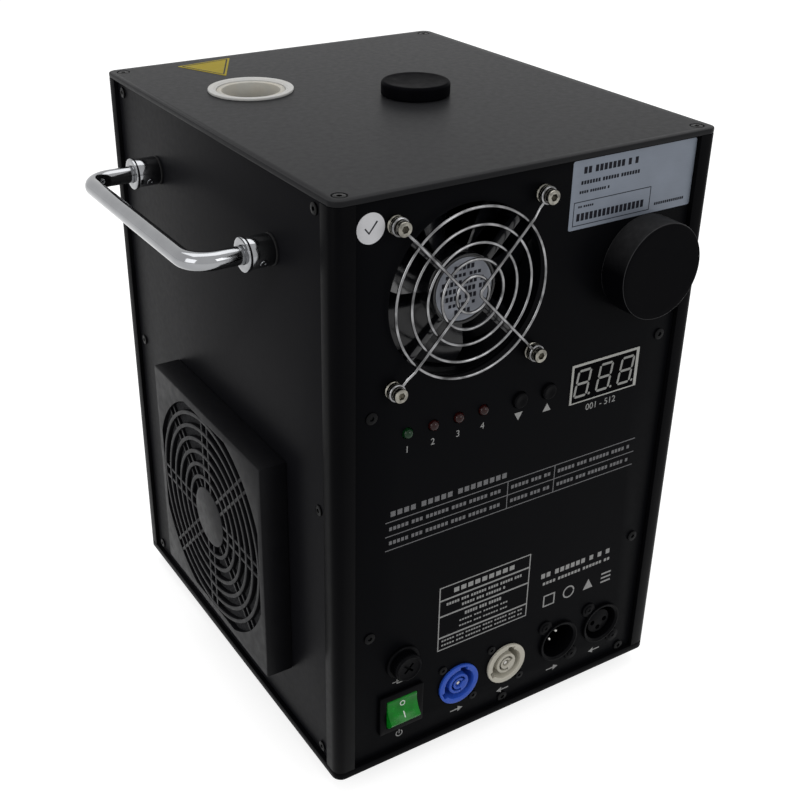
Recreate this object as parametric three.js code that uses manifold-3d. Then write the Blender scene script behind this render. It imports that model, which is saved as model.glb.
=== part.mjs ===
// Cold spark machine, modelled piece by piece in millimetres.
// +Z is up, the control panel faces -Y, and the origin is on the floor under the middle of the bounding box.

import * as THREE from 'three';
import { mergeVertices } from 'three/addons/utils/BufferGeometryUtils.js';
import loadManifold from 'manifold-3d';

const wasm = await loadManifold();
wasm.setup();

// Casing
const body = { width: 195, depth: 230, height: 290, corner: 5 };
const foot = { height: 10, seatRadius: 10, padRadius: 8.5, inset: 22 };
const shell = { topPlate: 2.5, chamfer: 0.6, bottomPlate: 4, panel: 1.5, recess: 2 };
const post = { face: 10, lip: 8, lipThickness: 2 };

// Clearances: a seat, a running fit, and how far a cutter passes the wall that it cuts
const clearance = { seat: 0.3, running: 0.4 };
const overrun = 2;

// Chrome handle with its two sleeves, the same on the left and on the right
const handle = { pitch: 120, rod: 8, reach: 39.8, bend: 11, fromTop: 36.7 };
const ferrule = { diameter: 15, length: 13.5, chamfer: 0.7 };

// Axial fans: the small one blows out through the control panel, the large one draws in at the left
const exhaustFan = {
  side: 80, depth: 25, rim: 2, holeInset: 4.25, hole: 4.3, hub: 31, flange: 3.5, wall: 1.6, corner: 4,
  strut: 3.2, strutDepth: 3, hubSetback: 1, blades: 7, chord: 27, bladeThickness: 1.3, tipGap: 1, shaft: 4,
};
const intakeFan = {
  side: 119, depth: 25, rim: 2.5, holeInset: 7, hole: 4.3, hub: 40, flange: 3.5, wall: 1.8, corner: 5,
  strut: 4, strutDepth: 3, hubSetback: 1, blades: 7, chord: 42, bladeThickness: 1.6, tipGap: 1.2, shaft: 5,
};
const bladePitch = { root: 0.9, tip: 0.5 };
const bladeSectionShares = [[-1, 0, -0.5], [0, 1, -0.5], [1, 0, -0.5], [1, 0, 0.5], [0, 1, 0.5], [-1, 0, 0.5]];
const bladeRadiusShares = [0, 0.45, 1];
const bladeHeightShare = 0.92;
const exhaustPlace = { besidePost: 6.1, underTop: 9.5 };
const intakePlace = { towardsFront: 9, fromBottom: 95 };

// Chrome wire guard before the small fan, and its four screws
const guard = {
  wire: 1.9, weld: 0.25, apexGap: 3, apexRadius: 5, eyeRadius: 3.4, stepStart: 6.5, stepEnd: 11, stepRadius: 2.5,
};
const guardRingShares = [0.98684, 0.78947, 0.59211, 0.40132, 0.21053];
const guardScrew = {
  collar: 8.4, collarLength: 3.2, shank: 3.8, head: 7, headLength: 2.5, socket: 3, socketDepth: 1.5,
};

// Square intake cover with a ribbed grille, as wide as the fan behind it
const grille = {
  depth: 14, wall: 2, face: 2.5, centreRadius: 15.7, slot: 4.6, rib: 2, spokes: 8,
  spokePitch: 6.1, spoke: 1.6, rim: 4.2, leastSlot: 0.4,
};

// Big plain cap on the front, pushed over a socket ring
const roundCover = {
  diameter: 45, length: 14.5, wall: 2.2, face: 3, edge: 1.8, besidePost: 3.75, fromTop: 56.25,
};
const coverSocket = { wall: 3.2, length: 10.5 };

// Indicator lights, push buttons and display, all seated on one board behind the panel
const lamp = { diameter: 5, proud: 2.4, shoulder: 6, shoulderLength: 1, underFan: 19 };
const button = {
  diameter: 7.5, proud: 1.8, travel: 1.2, edge: 0.5, collar: 9.5, collarLength: 1, underLamps: 0.5,
};
const display = { width: 38.75, height: 19.4, proud: 0.5, edge: 0.4, underLamps: 1.2 };
const lightRowShares = [0.20194, 0.0923, 0.0923, 0.0923, 0.15612, 0.08673, 0.10712];
const board = {
  besidePost: 6.5, height: 36, thickness: 1.6, standOff: 9, studRadius: 2.5, studInset: 4, keySwitch: 6, keyHeight: 4,
};

// Fuse
const fuse = { flange: 18, flangeLength: 1.8, barrel: 12, barrelLength: 34, cap: 15, proud: 6.5, capEdge: 0.8,
  rim: 1.6, rimRise: 0.5, stem: 7, stemLength: 12, slotLength: 6.5, slotWidth: 1.2, slotDepth: 1,
  besideSwitch: 0.7, fromBottom: 57.4 };

// Power switch: bezel and tilting rocker
const powerSwitch = {
  bezelWidth: 24.6, bezelHeight: 23.1, bezel: 2, bezelCorner: 1, bodyWidth: 22, bodyHeight: 20.6, bodyLength: 21,
  fromBottom: 29.2,
};
const rocker = { width: 16.8, radius: 8.6, edgeAngle: 48.6, dip: 1.5, pivotDepth: 1.7, heel: 5, axle: 3,
  axleEnd: 1.4, restTilt: 20 };

// Locking power connectors
const powerSocket = { ring: 25, ringLength: 2, bore: 18.6, boreDepth: 15, post: 10.2, postSetback: 2, contact: 4,
  contactDepth: 8, keyWidth: 4, keyDepth: 1.6, barrel: 23.4, barrelLength: 24 };
const powerKeyAngles = [80, 205];

// Round data connectors
const dataSocket = { ring: 23.5, ringLength: 1.6, ear: 4, earAcross: 9.5, earUp: 12, bore: 19.6, boreDepth: 13,
  barrel: 21.6, barrelLength: 20, pin: 2.4, pinLength: 9.5, pinCircle: 4.6, insert: 15.6, insertSetback: 1,
  contact: 2.8, contactDepth: 8 };
const contactAngles = [180, 270, 0];
const socketsFromBottom = 29;
const socketRowShares = [0.15508, 0.24599, 0.10963, 0.25267, 0.13102];

// Spark path: ceramic ring in the top plate over a heater tube
const nozzle = {
  flange: 42, rise: 1.2, bore: 33, spigot: 36.4, spigotLength: 10, edge: 0.4, fromSide: 46.5, fromBack: 70.5,
};
const heater = { collar: 43, bore: 26, tube: 34, socketFloor: 2 };

// Feed cap and hopper, with the screw feeder under it
const feedCap = { diameter: 33, rise: 6.7, edge: 0.8, plug: 21.4, plugLength: 8, plugWall: 2 };
const feedPlaceShares = { across: 0.06718, towardsFront: 0.00696 };
const hopper = { neckWall: 1.6, shoulder: 62, shoulderDrop: 14, side: 22, wall: 2, outlet: 15, outletTop: 78,
  bottom: 88 };
const feedTube = { outer: 19, wall: 2, behind: 16, flange: 26, flangeLength: 2.5 };
const auger = { shaft: 5, pitch: 14, flight: 2, driveLength: 9 };
const feedMotor = { gearbox: 28, gearboxLength: 22, motor: 24, motorLength: 32, boss: 12, bossLength: 3 };

// Centrifugal blower that feeds the heater tube
const blower = { width: 28, wall: 1.8, outlet: 30, largest: 38, smallest: 27, rise: 42, inlet: 17, bearing: 4,
  bearingLength: 3.5, axisHeight: 38, stand: 40 };
const impeller = { radius: 22, width: 18, hub: 10, disc: 1.6, ring: 1.6, ringWidth: 4, blades: 8, blade: 1.2,
  bladeDepth: 5.5, lean: 0.6, shaft: 3.4, sideGap: 1.6 };

// Power supply on the bottom plate
const supply = {
  depth: 110, height: 42, notch: 16, notchHeight: 18, chamfer: 2, besideNozzle: 56, besideWall: 5, beforeBack: 17.5,
};

// Facets of round work: large, medium and small diameters, handle rod, wires, pieces inside the casing, one turn
// of the feed screw, rounded corners, the bends of rods and wires, and the ends of a grille opening
const facets = {
  large: 22, medium: 14, small: 8, rod: 12, wire: 4, inner: 10, screwTurn: 6, corner: 2, rodBend: 3, wireBend: 2,
  grilleArc: 2,
};
const weldDistance = 1e-4;

// Levels and planes that follow from the sizes above
const floorOfBody = foot.height;
const topOfBody = foot.height + body.height;
const underTopPlate = topOfBody - shell.topPlate;
const overBottomPlate = floorOfBody + shell.bottomPlate;
const panelFront = body.depth / 2 - shell.recess;
const panelSide = body.width / 2 - shell.recess;
const panelHeight = underTopPlate - overBottomPlate - 2 * clearance.seat;
const panelMiddle = (underTopPlate + overBottomPlate) / 2;
const boardFace = -(shell.panel + board.standOff);
const betweenPosts = body.width - 2 * (post.face + post.lip);
const fromTop = (distance) => topOfBody - distance;
const fromBottom = (distance) => floorOfBody + distance;

// The middles of a row of pieces between the posts; each has its share of the free room before it
function rowOf(widths, gapShares) {
  const free = betweenPosts - widths.reduce((total, width) => total + width);
  let edge = -betweenPosts / 2;
  return widths.map((width, number) => {
    const start = edge + free * gapShares[number];
    edge = start + width;
    return start + width / 2;
  });
}

// Places on the control panel, measured from its middle and from the floor
const exhaustX = -betweenPosts / 2 + exhaustPlace.besidePost + exhaustFan.side / 2;
const exhaustY = fromTop(exhaustPlace.underTop + exhaustFan.side / 2);
const coverX = body.width / 2 - post.face - roundCover.besidePost - roundCover.diameter / 2;
const lampY = exhaustY - exhaustFan.side / 2 - lamp.underFan;
const buttonY = lampY - button.underLamps;
const displayY = lampY - display.underLamps;
const lightRow = rowOf([
  lamp.shoulder, lamp.shoulder, lamp.shoulder, lamp.shoulder, button.collar, button.collar, display.width,
], lightRowShares);
const lampPlaces = lightRow.slice(0, 4);
const buttonPlaces = lightRow.slice(4, 6);
const displayX = lightRow[6];
const [switchX, inletX, outletX, dataInX, dataOutX] = rowOf([
  powerSwitch.bezelWidth, powerSocket.ring, powerSocket.ring, dataSocket.ring, dataSocket.ring,
], socketRowShares);
const fuseX = switchX + fuse.besideSwitch;
const switchY = fromBottom(powerSwitch.fromBottom);
const fuseY = fromBottom(fuse.fromBottom);
const socketY = fromBottom(socketsFromBottom);

// Places on the top plate, measured from its middle
const nozzleX = nozzle.fromSide - body.width / 2;
const nozzleY = body.depth / 2 - nozzle.fromBack;
const feedX = feedPlaceShares.across * body.width;
const feedY = -feedPlaceShares.towardsFront * body.depth;

// Colours and surfaces
const finishes = {
  blackPaint: { color: 0x2c2c2f, roughness: 0.5, metalness: 0.25 },
  topPaint: { color: 0x4a4a4c, roughness: 0.55, metalness: 0.2 },
  panelPaint: { color: 0x101113, roughness: 0.55, metalness: 0.1 },
  chrome: { color: 0xd8dadd, roughness: 0.12, metalness: 1 },
  steel: { color: 0xa6a8aa, roughness: 0.4, metalness: 0.9 },
  rubber: { color: 0x18181a, roughness: 0.85, metalness: 0 },
  blackPlastic: { color: 0x161618, roughness: 0.5, metalness: 0 },
  fanPlastic: { color: 0x1b1c20, roughness: 0.35, metalness: 0 },
  ceramic: { color: 0xf2f0ea, roughness: 0.6, metalness: 0 },
  greenPlastic: { color: 0x1fa33a, roughness: 0.3, metalness: 0 },
  bluePlastic: { color: 0x3458c8, roughness: 0.45, metalness: 0 },
  greyPlastic: { color: 0xcfcab8, roughness: 0.5, metalness: 0 },
  whitePlastic: { color: 0xd6d6d2, roughness: 0.5, metalness: 0 },
  greenLens: { color: 0x0f4a22, roughness: 0.2, metalness: 0 },
  redLens: { color: 0x4a1512, roughness: 0.2, metalness: 0 },
  boardGreen: { color: 0x1d5a34, roughness: 0.6, metalness: 0 },
};

// Six times the volume inside a closed indexed geometry, negative when it is wound inside out
function windingVolume(geometry) {
  const position = geometry.attributes.position;
  const index = geometry.index.array;
  const a = new THREE.Vector3();
  const b = new THREE.Vector3();
  const c = new THREE.Vector3();
  let total = 0;
  for (let i = 0; i < index.length; i += 3) {
    a.fromBufferAttribute(position, index[i]);
    b.fromBufferAttribute(position, index[i + 1]);
    c.fromBufferAttribute(position, index[i + 2]);
    total += a.dot(b.cross(c));
  }
  return total;
}

// The same shape with shared corners, without collapsed triangles, and facing outwards
function closed(source) {
  const bare = source.index ? source.toNonIndexed() : source.clone();
  bare.deleteAttribute('normal');
  bare.deleteAttribute('uv');
  const welded = mergeVertices(bare, weldDistance);
  const index = welded.index.array;
  const kept = [];
  for (let i = 0; i < index.length; i += 3) {
    const [a, b, c] = [index[i], index[i + 1], index[i + 2]];
    if (a !== b && b !== c && c !== a) {
      kept.push(a, b, c);
    }
  }
  welded.setIndex(kept);
  if (windingVolume(welded) < 0) {
    for (let i = 0; i < kept.length; i += 3) {
      [kept[i], kept[i + 1]] = [kept[i + 1], kept[i]];
    }
    welded.setIndex(kept);
  }
  return welded;
}

function solidOf(geometry) {
  const clean = closed(geometry);
  return new wasm.Manifold(new wasm.Mesh({
    numProp: 3,
    vertProperties: new Float32Array(clean.attributes.position.array),
    triVerts: new Uint32Array(clean.index.array),
  }));
}

function geometryOf(solid) {
  const mesh = solid.getMesh();
  const geometry = new THREE.BufferGeometry();
  geometry.setAttribute('position', new THREE.BufferAttribute(mesh.vertProperties, mesh.numProp));
  geometry.setIndex(new THREE.BufferAttribute(mesh.triVerts, 1));
  return geometry;
}

// All geometries joined into one body
function join(...geometries) {
  const solids = geometries.map(solidOf);
  return geometryOf(solids.reduce((whole, next) => whole.add(next)));
}

// The first geometry with every tool cut away from it
function cut(base, ...tools) {
  const solids = tools.map(solidOf);
  return geometryOf(solids.reduce((rest, tool) => rest.subtract(tool), solidOf(base)));
}

function moved(geometry, x, y, z) {
  return geometry.clone().translate(x, y, z);
}

// Points along an arc, both ends included
function arc(x, y, radius, fromAngle, toAngle, count) {
  const points = [];
  for (let i = 0; i <= count; i += 1) {
    const angle = fromAngle + (toAngle - fromAngle) * i / count;
    points.push(new THREE.Vector2(x + radius * Math.cos(angle), y + radius * Math.sin(angle)));
  }
  return points;
}

function circle(radius, count, x = 0, y = 0) {
  return arc(x, y, radius, 0, 2 * Math.PI, count).slice(0, -1);
}

function rectangle(width, height, radius = 0) {
  const corners = [[1, 1], [-1, 1], [-1, -1], [1, -1]];
  return corners.flatMap(([sideX, sideY], turn) => {
    const x = sideX * (width / 2 - radius);
    const y = sideY * (height / 2 - radius);
    const start = turn * Math.PI / 2;
    return radius > 0 ? arc(x, y, radius, start, start + Math.PI / 2, facets.corner) : [new THREE.Vector2(x, y)];
  });
}

function shifted(points, x, y) {
  return points.map((point) => new THREE.Vector2(point.x + x, point.y + y));
}

// A flat outline, with holes, given thickness along Z
function slab(points, low, high, holes = []) {
  const shape = new THREE.Shape(points);
  shape.holes = holes.map((hole) => new THREE.Path(hole));
  const geometry = new THREE.ExtrudeGeometry(shape, { depth: high - low, bevelEnabled: false });
  return closed(geometry.translate(0, 0, low));
}

// A flat outline given thickness, with a chamfer along both rims
function chamferedSlab(points, low, high, chamfer) {
  const geometry = new THREE.ExtrudeGeometry(new THREE.Shape(points), {
    depth: high - low - 2 * chamfer,
    bevelThickness: chamfer,
    bevelSize: chamfer,
    bevelOffset: -chamfer,
    bevelSegments: 1,
  });
  return closed(geometry.translate(0, 0, low + chamfer));
}

// A profile of [radius, height] pairs turned about Z
function turned(profile, count) {
  const points = profile.map(([radius, height]) => new THREE.Vector2(radius, height));
  return closed(new THREE.LatheGeometry(points, count).rotateX(Math.PI / 2));
}

function rod(radius, low, high, count) {
  return turned([[0, low], [radius, low], [radius, high], [0, high]], count);
}

function tube(outer, inner, low, high, count) {
  return turned([[inner, low], [outer, low], [outer, high], [inner, high], [inner, low]], count);
}

// The radius of a faceted hole whose flat sides still clear a round piece
function around(radius, count) {
  return radius / Math.cos(Math.PI / count);
}

function drill(radius, low, high, count) {
  return rod(around(radius, count), low, high, count);
}

function block(width, height, low, high, x = 0, y = 0) {
  return slab(shifted(rectangle(width, height), x, y), low, high);
}

// A path through given knots, with one section at each knot
class KnotPath extends THREE.Curve {
  constructor(knots) {
    super();
    this.knots = knots;
  }

  getPoint(share, target = new THREE.Vector3()) {
    const last = this.knots.length - 1;
    return target.copy(this.knots[Math.round(share * last)]);
  }

  getPointAt(share, target) {
    return this.getPoint(share, target);
  }

  getTangentAt(share, target = new THREE.Vector3()) {
    const last = this.knots.length - 1;
    const here = Math.round(share * last);
    const before = this.knots[Math.max(here - 1, 0)];
    const after = this.knots[Math.min(here + 1, last)];
    return target.subVectors(after, before).normalize();
  }
}

// The knots of a bent rod: straight runs between the corners, each inner corner rounded to its own radius
function bentRoute(corners, radii, bendSteps) {
  const knots = [corners[0]];
  for (let i = 1; i < corners.length - 1; i += 1) {
    const radius = radii[i - 1];
    const inward = new THREE.Vector3().subVectors(corners[i], corners[i - 1]).normalize();
    const outward = new THREE.Vector3().subVectors(corners[i + 1], corners[i]).normalize();
    const turn = inward.angleTo(outward);
    const setback = radius * Math.tan(turn / 2);
    const middle = new THREE.Vector3().subVectors(outward, inward).normalize();
    const centre = corners[i].clone().addScaledVector(middle, radius / Math.cos(turn / 2));
    const start = corners[i].clone().addScaledVector(inward, -setback).sub(centre);
    const axis = new THREE.Vector3().crossVectors(inward, outward).normalize();
    for (let step = 0; step <= bendSteps; step += 1) {
      knots.push(start.clone().applyAxisAngle(axis, turn * step / bendSteps).add(centre));
    }
  }
  knots.push(corners[corners.length - 1]);
  return knots;
}

function bentRod(corners, bendRadii, radius, count, bendSteps) {
  const knots = bentRoute(corners, bendRadii, bendSteps);
  return closed(new THREE.ExtrudeGeometry(new THREE.Shape(circle(radius, count)), {
    steps: knots.length - 1,
    extrudePath: new KnotPath(knots),
  }));
}

// A closed skin over a row of sections that all have the same number of points
function loft(sections) {
  const count = sections[0].length;
  const positions = sections.flat().flatMap((point) => [point.x, point.y, point.z]);
  const index = [];
  for (let row = 0; row < sections.length - 1; row += 1) {
    for (let i = 0; i < count; i += 1) {
      const a = row * count + i;
      const b = row * count + (i + 1) % count;
      index.push(a, b, b + count, a, b + count, a + count);
    }
  }
  const last = (sections.length - 1) * count;
  for (let i = 1; i < count - 1; i += 1) {
    index.push(0, i + 1, i, last, last + i, last + i + 1);
  }
  const geometry = new THREE.BufferGeometry();
  geometry.setAttribute('position', new THREE.Float32BufferAttribute(positions, 3));
  geometry.setIndex(index);
  return closed(geometry);
}

// A group whose Z axis points out of one face of the casing
function faceGroup(turn, distance) {
  const group = new THREE.Group();
  group.rotation.set(Math.PI / 2, 0, turn, 'ZYX');
  group.position.set(distance * Math.sin(turn), -distance * Math.cos(turn), 0);
  return group;
}

const machine = new THREE.Group();
const front = faceGroup(0, panelFront);
const back = faceGroup(Math.PI, panelFront);
const left = faceGroup(-Math.PI / 2, panelSide);
const right = faceGroup(Math.PI / 2, panelSide);
machine.add(front, back, left, right);
machine.position.y = (roundCover.length - shell.recess) / 2;

// One named piece with its own material
function piece(name, geometry, finish, parent, x = 0, y = 0, z = 0) {
  const mesh = new THREE.Mesh(geometry, new THREE.MeshStandardMaterial({ ...finish, flatShading: true }));
  mesh.name = name;
  mesh.position.set(x, y, z);
  parent.add(mesh);
}

// Casing: plates, corner posts and feet

function topPlate() {
  const outline = rectangle(body.width, body.depth, body.corner);
  const plate = chamferedSlab(outline, underTopPlate, topOfBody, shell.chamfer);
  const low = underTopPlate - overrun;
  const high = topOfBody + overrun;
  const nozzleHole = drill(nozzle.spigot / 2 + clearance.seat, low, high, facets.large);
  const feedHole = drill(hopperNeckRadius() + clearance.seat, low, high, facets.medium);
  return cut(
    plate,
    moved(nozzleHole, nozzleX, nozzleY, 0),
    moved(feedHole, feedX, feedY, 0),
  );
}

function cornerPost(sideX, sideY) {
  const behindPanel = shell.recess + shell.panel;
  const behindLip = behindPanel + post.lipThickness;
  const lipEnd = post.face + post.lip;
  const outline = [
    ...arc(-body.corner, -body.corner, body.corner, 0, Math.PI / 2, facets.corner),
    new THREE.Vector2(-post.face, 0),
    new THREE.Vector2(-post.face, -behindPanel),
    new THREE.Vector2(-lipEnd, -behindPanel),
    new THREE.Vector2(-lipEnd, -behindLip),
    new THREE.Vector2(-behindLip, -behindLip),
    new THREE.Vector2(-behindLip, -lipEnd),
    new THREE.Vector2(-behindPanel, -lipEnd),
    new THREE.Vector2(-behindPanel, -post.face),
    new THREE.Vector2(0, -post.face),
  ];
  const placed = outline.map((point) => new THREE.Vector2(
    sideX * (body.width / 2 + point.x),
    sideY * (body.depth / 2 + point.y),
  ));
  return slab(placed, overBottomPlate, underTopPlate);
}

function rubberFoot() {
  return turned([[0, 0], [foot.padRadius, 0], [foot.seatRadius, foot.height], [0, foot.height]], facets.medium);
}

piece('top_plate', topPlate(), finishes.topPaint, machine);
piece('bottom_plate', slab(rectangle(body.width, body.depth, body.corner), floorOfBody, overBottomPlate),
  finishes.blackPaint, machine);
for (const [nameX, sideX] of [['left', -1], ['right', 1]]) {
  for (const [nameY, sideY] of [['front', -1], ['back', 1]]) {
    piece(`post_${nameY}_${nameX}`, cornerPost(sideX, sideY), finishes.blackPaint, machine);
    piece(`foot_${nameY}_${nameX}`, rubberFoot(), finishes.rubber, machine,
      sideX * (body.width / 2 - foot.inset), sideY * (body.depth / 2 - foot.inset), 0);
  }
}

// Panels, seen from outside, with their outer face at height zero

function panelBlank(width) {
  const outline = rectangle(width - 2 * (post.face + clearance.seat), panelHeight);
  return slab(shifted(outline, 0, panelMiddle), -shell.panel, 0);
}

function holeThroughPanel(points, x, y) {
  return slab(shifted(points, x, y), -shell.panel - overrun, overrun);
}

function roundHole(radius, x, y, count = facets.small) {
  return holeThroughPanel(circle(around(radius, count), count), x, y);
}

const cornerSigns = [[-1, -1], [1, -1], [1, 1], [-1, 1]];
const boreRadiusOf = (fan) => fan.side / 2 - fan.rim;
const screwSpanOf = (fan) => fan.side / 2 - fan.holeInset;
const boardWidth = betweenPosts - 2 * board.besidePost;

function boardStuds() {
  const spanX = boardWidth / 2 - board.studInset;
  const spanY = board.height / 2 - board.studInset;
  return cornerSigns.map(([sideX, sideY]) => moved(
    rod(board.studRadius, boardFace + clearance.seat, -shell.panel / 2, facets.small),
    sideX * spanX, lampY + sideY * spanY, 0,
  ));
}

function controlPanel() {
  const loose = clearance.seat;
  const displayHole = rectangle(display.width + 2 * loose, display.height + 2 * loose);
  const switchHole = rectangle(powerSwitch.bodyWidth + 2 * loose, powerSwitch.bodyHeight + 2 * loose);
  const screwSpan = screwSpanOf(exhaustFan);
  const holes = [
    roundHole(boreRadiusOf(exhaustFan), exhaustX, exhaustY, facets.large),
    ...cornerSigns.map(([sideX, sideY]) => roundHole(
      guardScrew.shank / 2 + loose, exhaustX + sideX * screwSpan, exhaustY + sideY * screwSpan,
    )),
    ...lampPlaces.map((x) => roundHole(lamp.diameter / 2 + loose, x, lampY)),
    ...buttonPlaces.map((x) => roundHole(button.diameter / 2 + clearance.running, x, buttonY)),
    holeThroughPanel(displayHole, displayX, displayY),
    roundHole(fuse.barrel / 2 + loose, fuseX, fuseY, facets.medium),
    holeThroughPanel(switchHole, switchX, switchY),
    ...[inletX, outletX].map((x) => roundHole(powerSocket.barrel / 2 + loose, x, socketY, facets.medium)),
    ...[dataInX, dataOutX].map((x) => roundHole(dataSocket.barrel / 2 + loose, x, socketY, facets.medium)),
  ];
  return cut(join(panelBlank(body.width), ...boardStuds()), ...holes);
}

function leftPanel() {
  return cut(panelBlank(body.depth),
    roundHole(boreRadiusOf(intakeFan), intakePlace.towardsFront, fromBottom(intakePlace.fromBottom), facets.large));
}

piece('control_panel', controlPanel(), finishes.panelPaint, front);
piece('back_panel', panelBlank(body.width), finishes.blackPaint, back);
piece('left_panel', leftPanel(), finishes.blackPaint, left);
piece('right_panel', panelBlank(body.depth), finishes.blackPaint, right);

// Handles: a bent rod standing on the side panel, and a sleeve round each foot of it

function handleBar() {
  const low = clearance.seat;
  const high = handle.reach - handle.rod / 2;
  const span = handle.pitch / 2;
  const corners = [[-span, low], [-span, high], [span, high], [span, low]];
  const places = corners.map(([x, z]) => new THREE.Vector3(x, 0, z));
  return bentRod(places, [handle.bend, handle.bend], handle.rod / 2, facets.rod, facets.rodBend);
}

function handleFerrule() {
  const inner = handle.rod / 2 + clearance.seat;
  const outer = ferrule.diameter / 2;
  return turned([
    [inner, 0], [outer, 0], [outer, ferrule.length - ferrule.chamfer], [outer - ferrule.chamfer, ferrule.length],
    [inner, ferrule.length], [inner, 0],
  ], facets.medium);
}

for (const [side, group, towardsFront] of [['left', left, 1], ['right', right, -1]]) {
  const height = fromTop(handle.fromTop);
  piece(`handle_bar_${side}`, handleBar(), finishes.chrome, group, 0, height, 0);
  for (const [end, sign] of [['front', towardsFront], ['back', -towardsFront]]) {
    piece(`handle_ferrule_${end}_${side}`, handleFerrule(), finishes.chrome, group,
      sign * handle.pitch / 2, height, 0);
  }
}

// Fans: the strut side is at height zero and the air leaves there

function fanFrame(fan) {
  const boreRadius = boreRadiusOf(fan);
  const screwSpan = screwSpanOf(fan);
  const square = rectangle(fan.side, fan.side, fan.corner);
  const screwHoles = cornerSigns.map(([sideX, sideY]) => moved(
    drill(fan.hole / 2, -fan.depth - overrun, overrun, facets.small), sideX * screwSpan, sideY * screwSpan, 0,
  ));
  const bore = rod(boreRadius, -fan.depth - overrun, overrun, facets.large);
  const shroud = cut(
    join(
      slab(square, -fan.flange, 0),
      slab(square, -fan.depth, fan.flange - fan.depth),
      rod(boreRadius + fan.wall, -fan.depth, 0, facets.large),
    ),
    bore,
    ...screwHoles,
  );
  const hubLow = -fan.hubSetback - fan.strutDepth;
  const strutLength = 2 * boreRadius + fan.wall;
  const struts = [1, 3].map((quarter) => block(strutLength, fan.strut, hubLow, -fan.hubSetback)
    .rotateZ(quarter * Math.PI / 4));
  const hubPlate = rod(fan.hub / 2, hubLow, -fan.hubSetback, facets.medium);
  const bearing = drill(fan.shaft / 2 + clearance.running, hubLow - overrun, -fan.hubSetback - fan.strutDepth / 3,
    facets.small);
  return cut(join(shroud, ...struts, hubPlate), bearing);
}

// One blade, drawn at several radii and wrapped round the axis
function fanBlade(fan, angle, low, high) {
  const rootRadius = fan.hub / 2 - fan.bladeThickness;
  const tipRadius = boreRadiusOf(fan) - fan.tipGap;
  const middle = (low + high) / 2;
  const halfHeight = (high - low) / 2 - fan.bladeThickness;
  return loft(bladeRadiusShares.map((share) => {
    const radius = THREE.MathUtils.lerp(rootRadius, tipRadius, share);
    const pitch = THREE.MathUtils.lerp(bladePitch.root, bladePitch.tip, share);
    const halfChord = Math.min(fan.chord / 2, bladeHeightShare * halfHeight / Math.sin(pitch));
    return bladeSectionShares.map(([along, arch, side]) => {
      const across = along * halfChord;
      const lift = (arch + side) * fan.bladeThickness;
      const turn = angle + (across * Math.cos(pitch) - lift * Math.sin(pitch)) / radius;
      const height = middle + across * Math.sin(pitch) + lift * Math.cos(pitch);
      return new THREE.Vector3(radius * Math.cos(turn), radius * Math.sin(turn), height);
    });
  }));
}

function fanRotor(fan) {
  const top = -fan.hubSetback - fan.strutDepth - clearance.running;
  const bottom = clearance.running - fan.depth;
  const hub = rod(fan.hub / 2, bottom, top, facets.medium);
  const shaft = rod(fan.shaft / 2, top - fan.shaft, top + fan.strutDepth / 2, facets.small);
  const parts = [hub, shaft];
  for (let i = 0; i < fan.blades; i += 1) {
    parts.push(fanBlade(fan, i * 2 * Math.PI / fan.blades, bottom, top));
  }
  return join(...parts);
}

const exhaustGroup = new THREE.Group();
exhaustGroup.position.set(exhaustX, exhaustY, 0);
front.add(exhaustGroup);
piece('exhaust_fan_frame', fanFrame(exhaustFan), finishes.fanPlastic, exhaustGroup, 0, 0, -shell.panel);
piece('exhaust_fan_rotor', fanRotor(exhaustFan), finishes.fanPlastic, exhaustGroup, 0, 0, -shell.panel);

const intakeGroup = new THREE.Group();
intakeGroup.position.set(intakePlace.towardsFront, fromBottom(intakePlace.fromBottom), 0);
left.add(intakeGroup);
const intakeFanGroup = new THREE.Group();
intakeFanGroup.rotation.x = Math.PI;
intakeFanGroup.position.z = -shell.panel - intakeFan.depth;
intakeGroup.add(intakeFanGroup);
piece('intake_fan_frame', fanFrame(intakeFan), finishes.fanPlastic, intakeFanGroup);
piece('intake_fan_rotor', fanRotor(intakeFan), finishes.fanPlastic, intakeFanGroup);

// Wire guard: five welded rings, and two bent wires that end in eyes round the screws

const guardPlane = guardScrew.collarLength + clearance.seat + guard.wire / 2;

function guardRing(radius, x = 0, y = 0) {
  const count = Math.max(facets.small, Math.round(facets.large * radius / boreRadiusOf(exhaustFan)));
  const ring = closed(new THREE.TorusGeometry(radius, guard.wire / 2, facets.wire, count));
  return moved(ring, x, y, guardPlane);
}

function guardSpoke(side) {
  const screw = new THREE.Vector2(screwSpanOf(exhaustFan), screwSpanOf(exhaustFan));
  const apex = new THREE.Vector2(guard.apexGap, 0);
  const inward = new THREE.Vector2().subVectors(apex, screw).normalize();
  const raised = guardPlane + guard.wire - guard.weld;
  const point = (distance, height, up) => new THREE.Vector3(
    side * (screw.x + inward.x * distance), up * (screw.y + inward.y * distance), height,
  );
  const half = (up) => [point(guard.eyeRadius, guardPlane, up), point(guard.stepStart, guardPlane, up),
    point(guard.stepEnd, raised, up)];
  const corners = [...half(1), new THREE.Vector3(side * apex.x, 0, raised), ...half(-1).reverse()];
  const radii = [guard.stepRadius, guard.stepRadius, guard.apexRadius, guard.stepRadius, guard.stepRadius];
  return bentRod(corners, radii, guard.wire / 2, facets.wire, facets.wireBend);
}

function wireGuard() {
  const span = screwSpanOf(exhaustFan);
  const rings = guardRingShares.map((share) => guardRing(share * boreRadiusOf(exhaustFan)));
  const eyes = cornerSigns.map(([x, y]) => guardRing(guard.eyeRadius, x * span, y * span));
  return join(...rings, ...eyes, guardSpoke(-1), guardSpoke(1));
}

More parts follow.
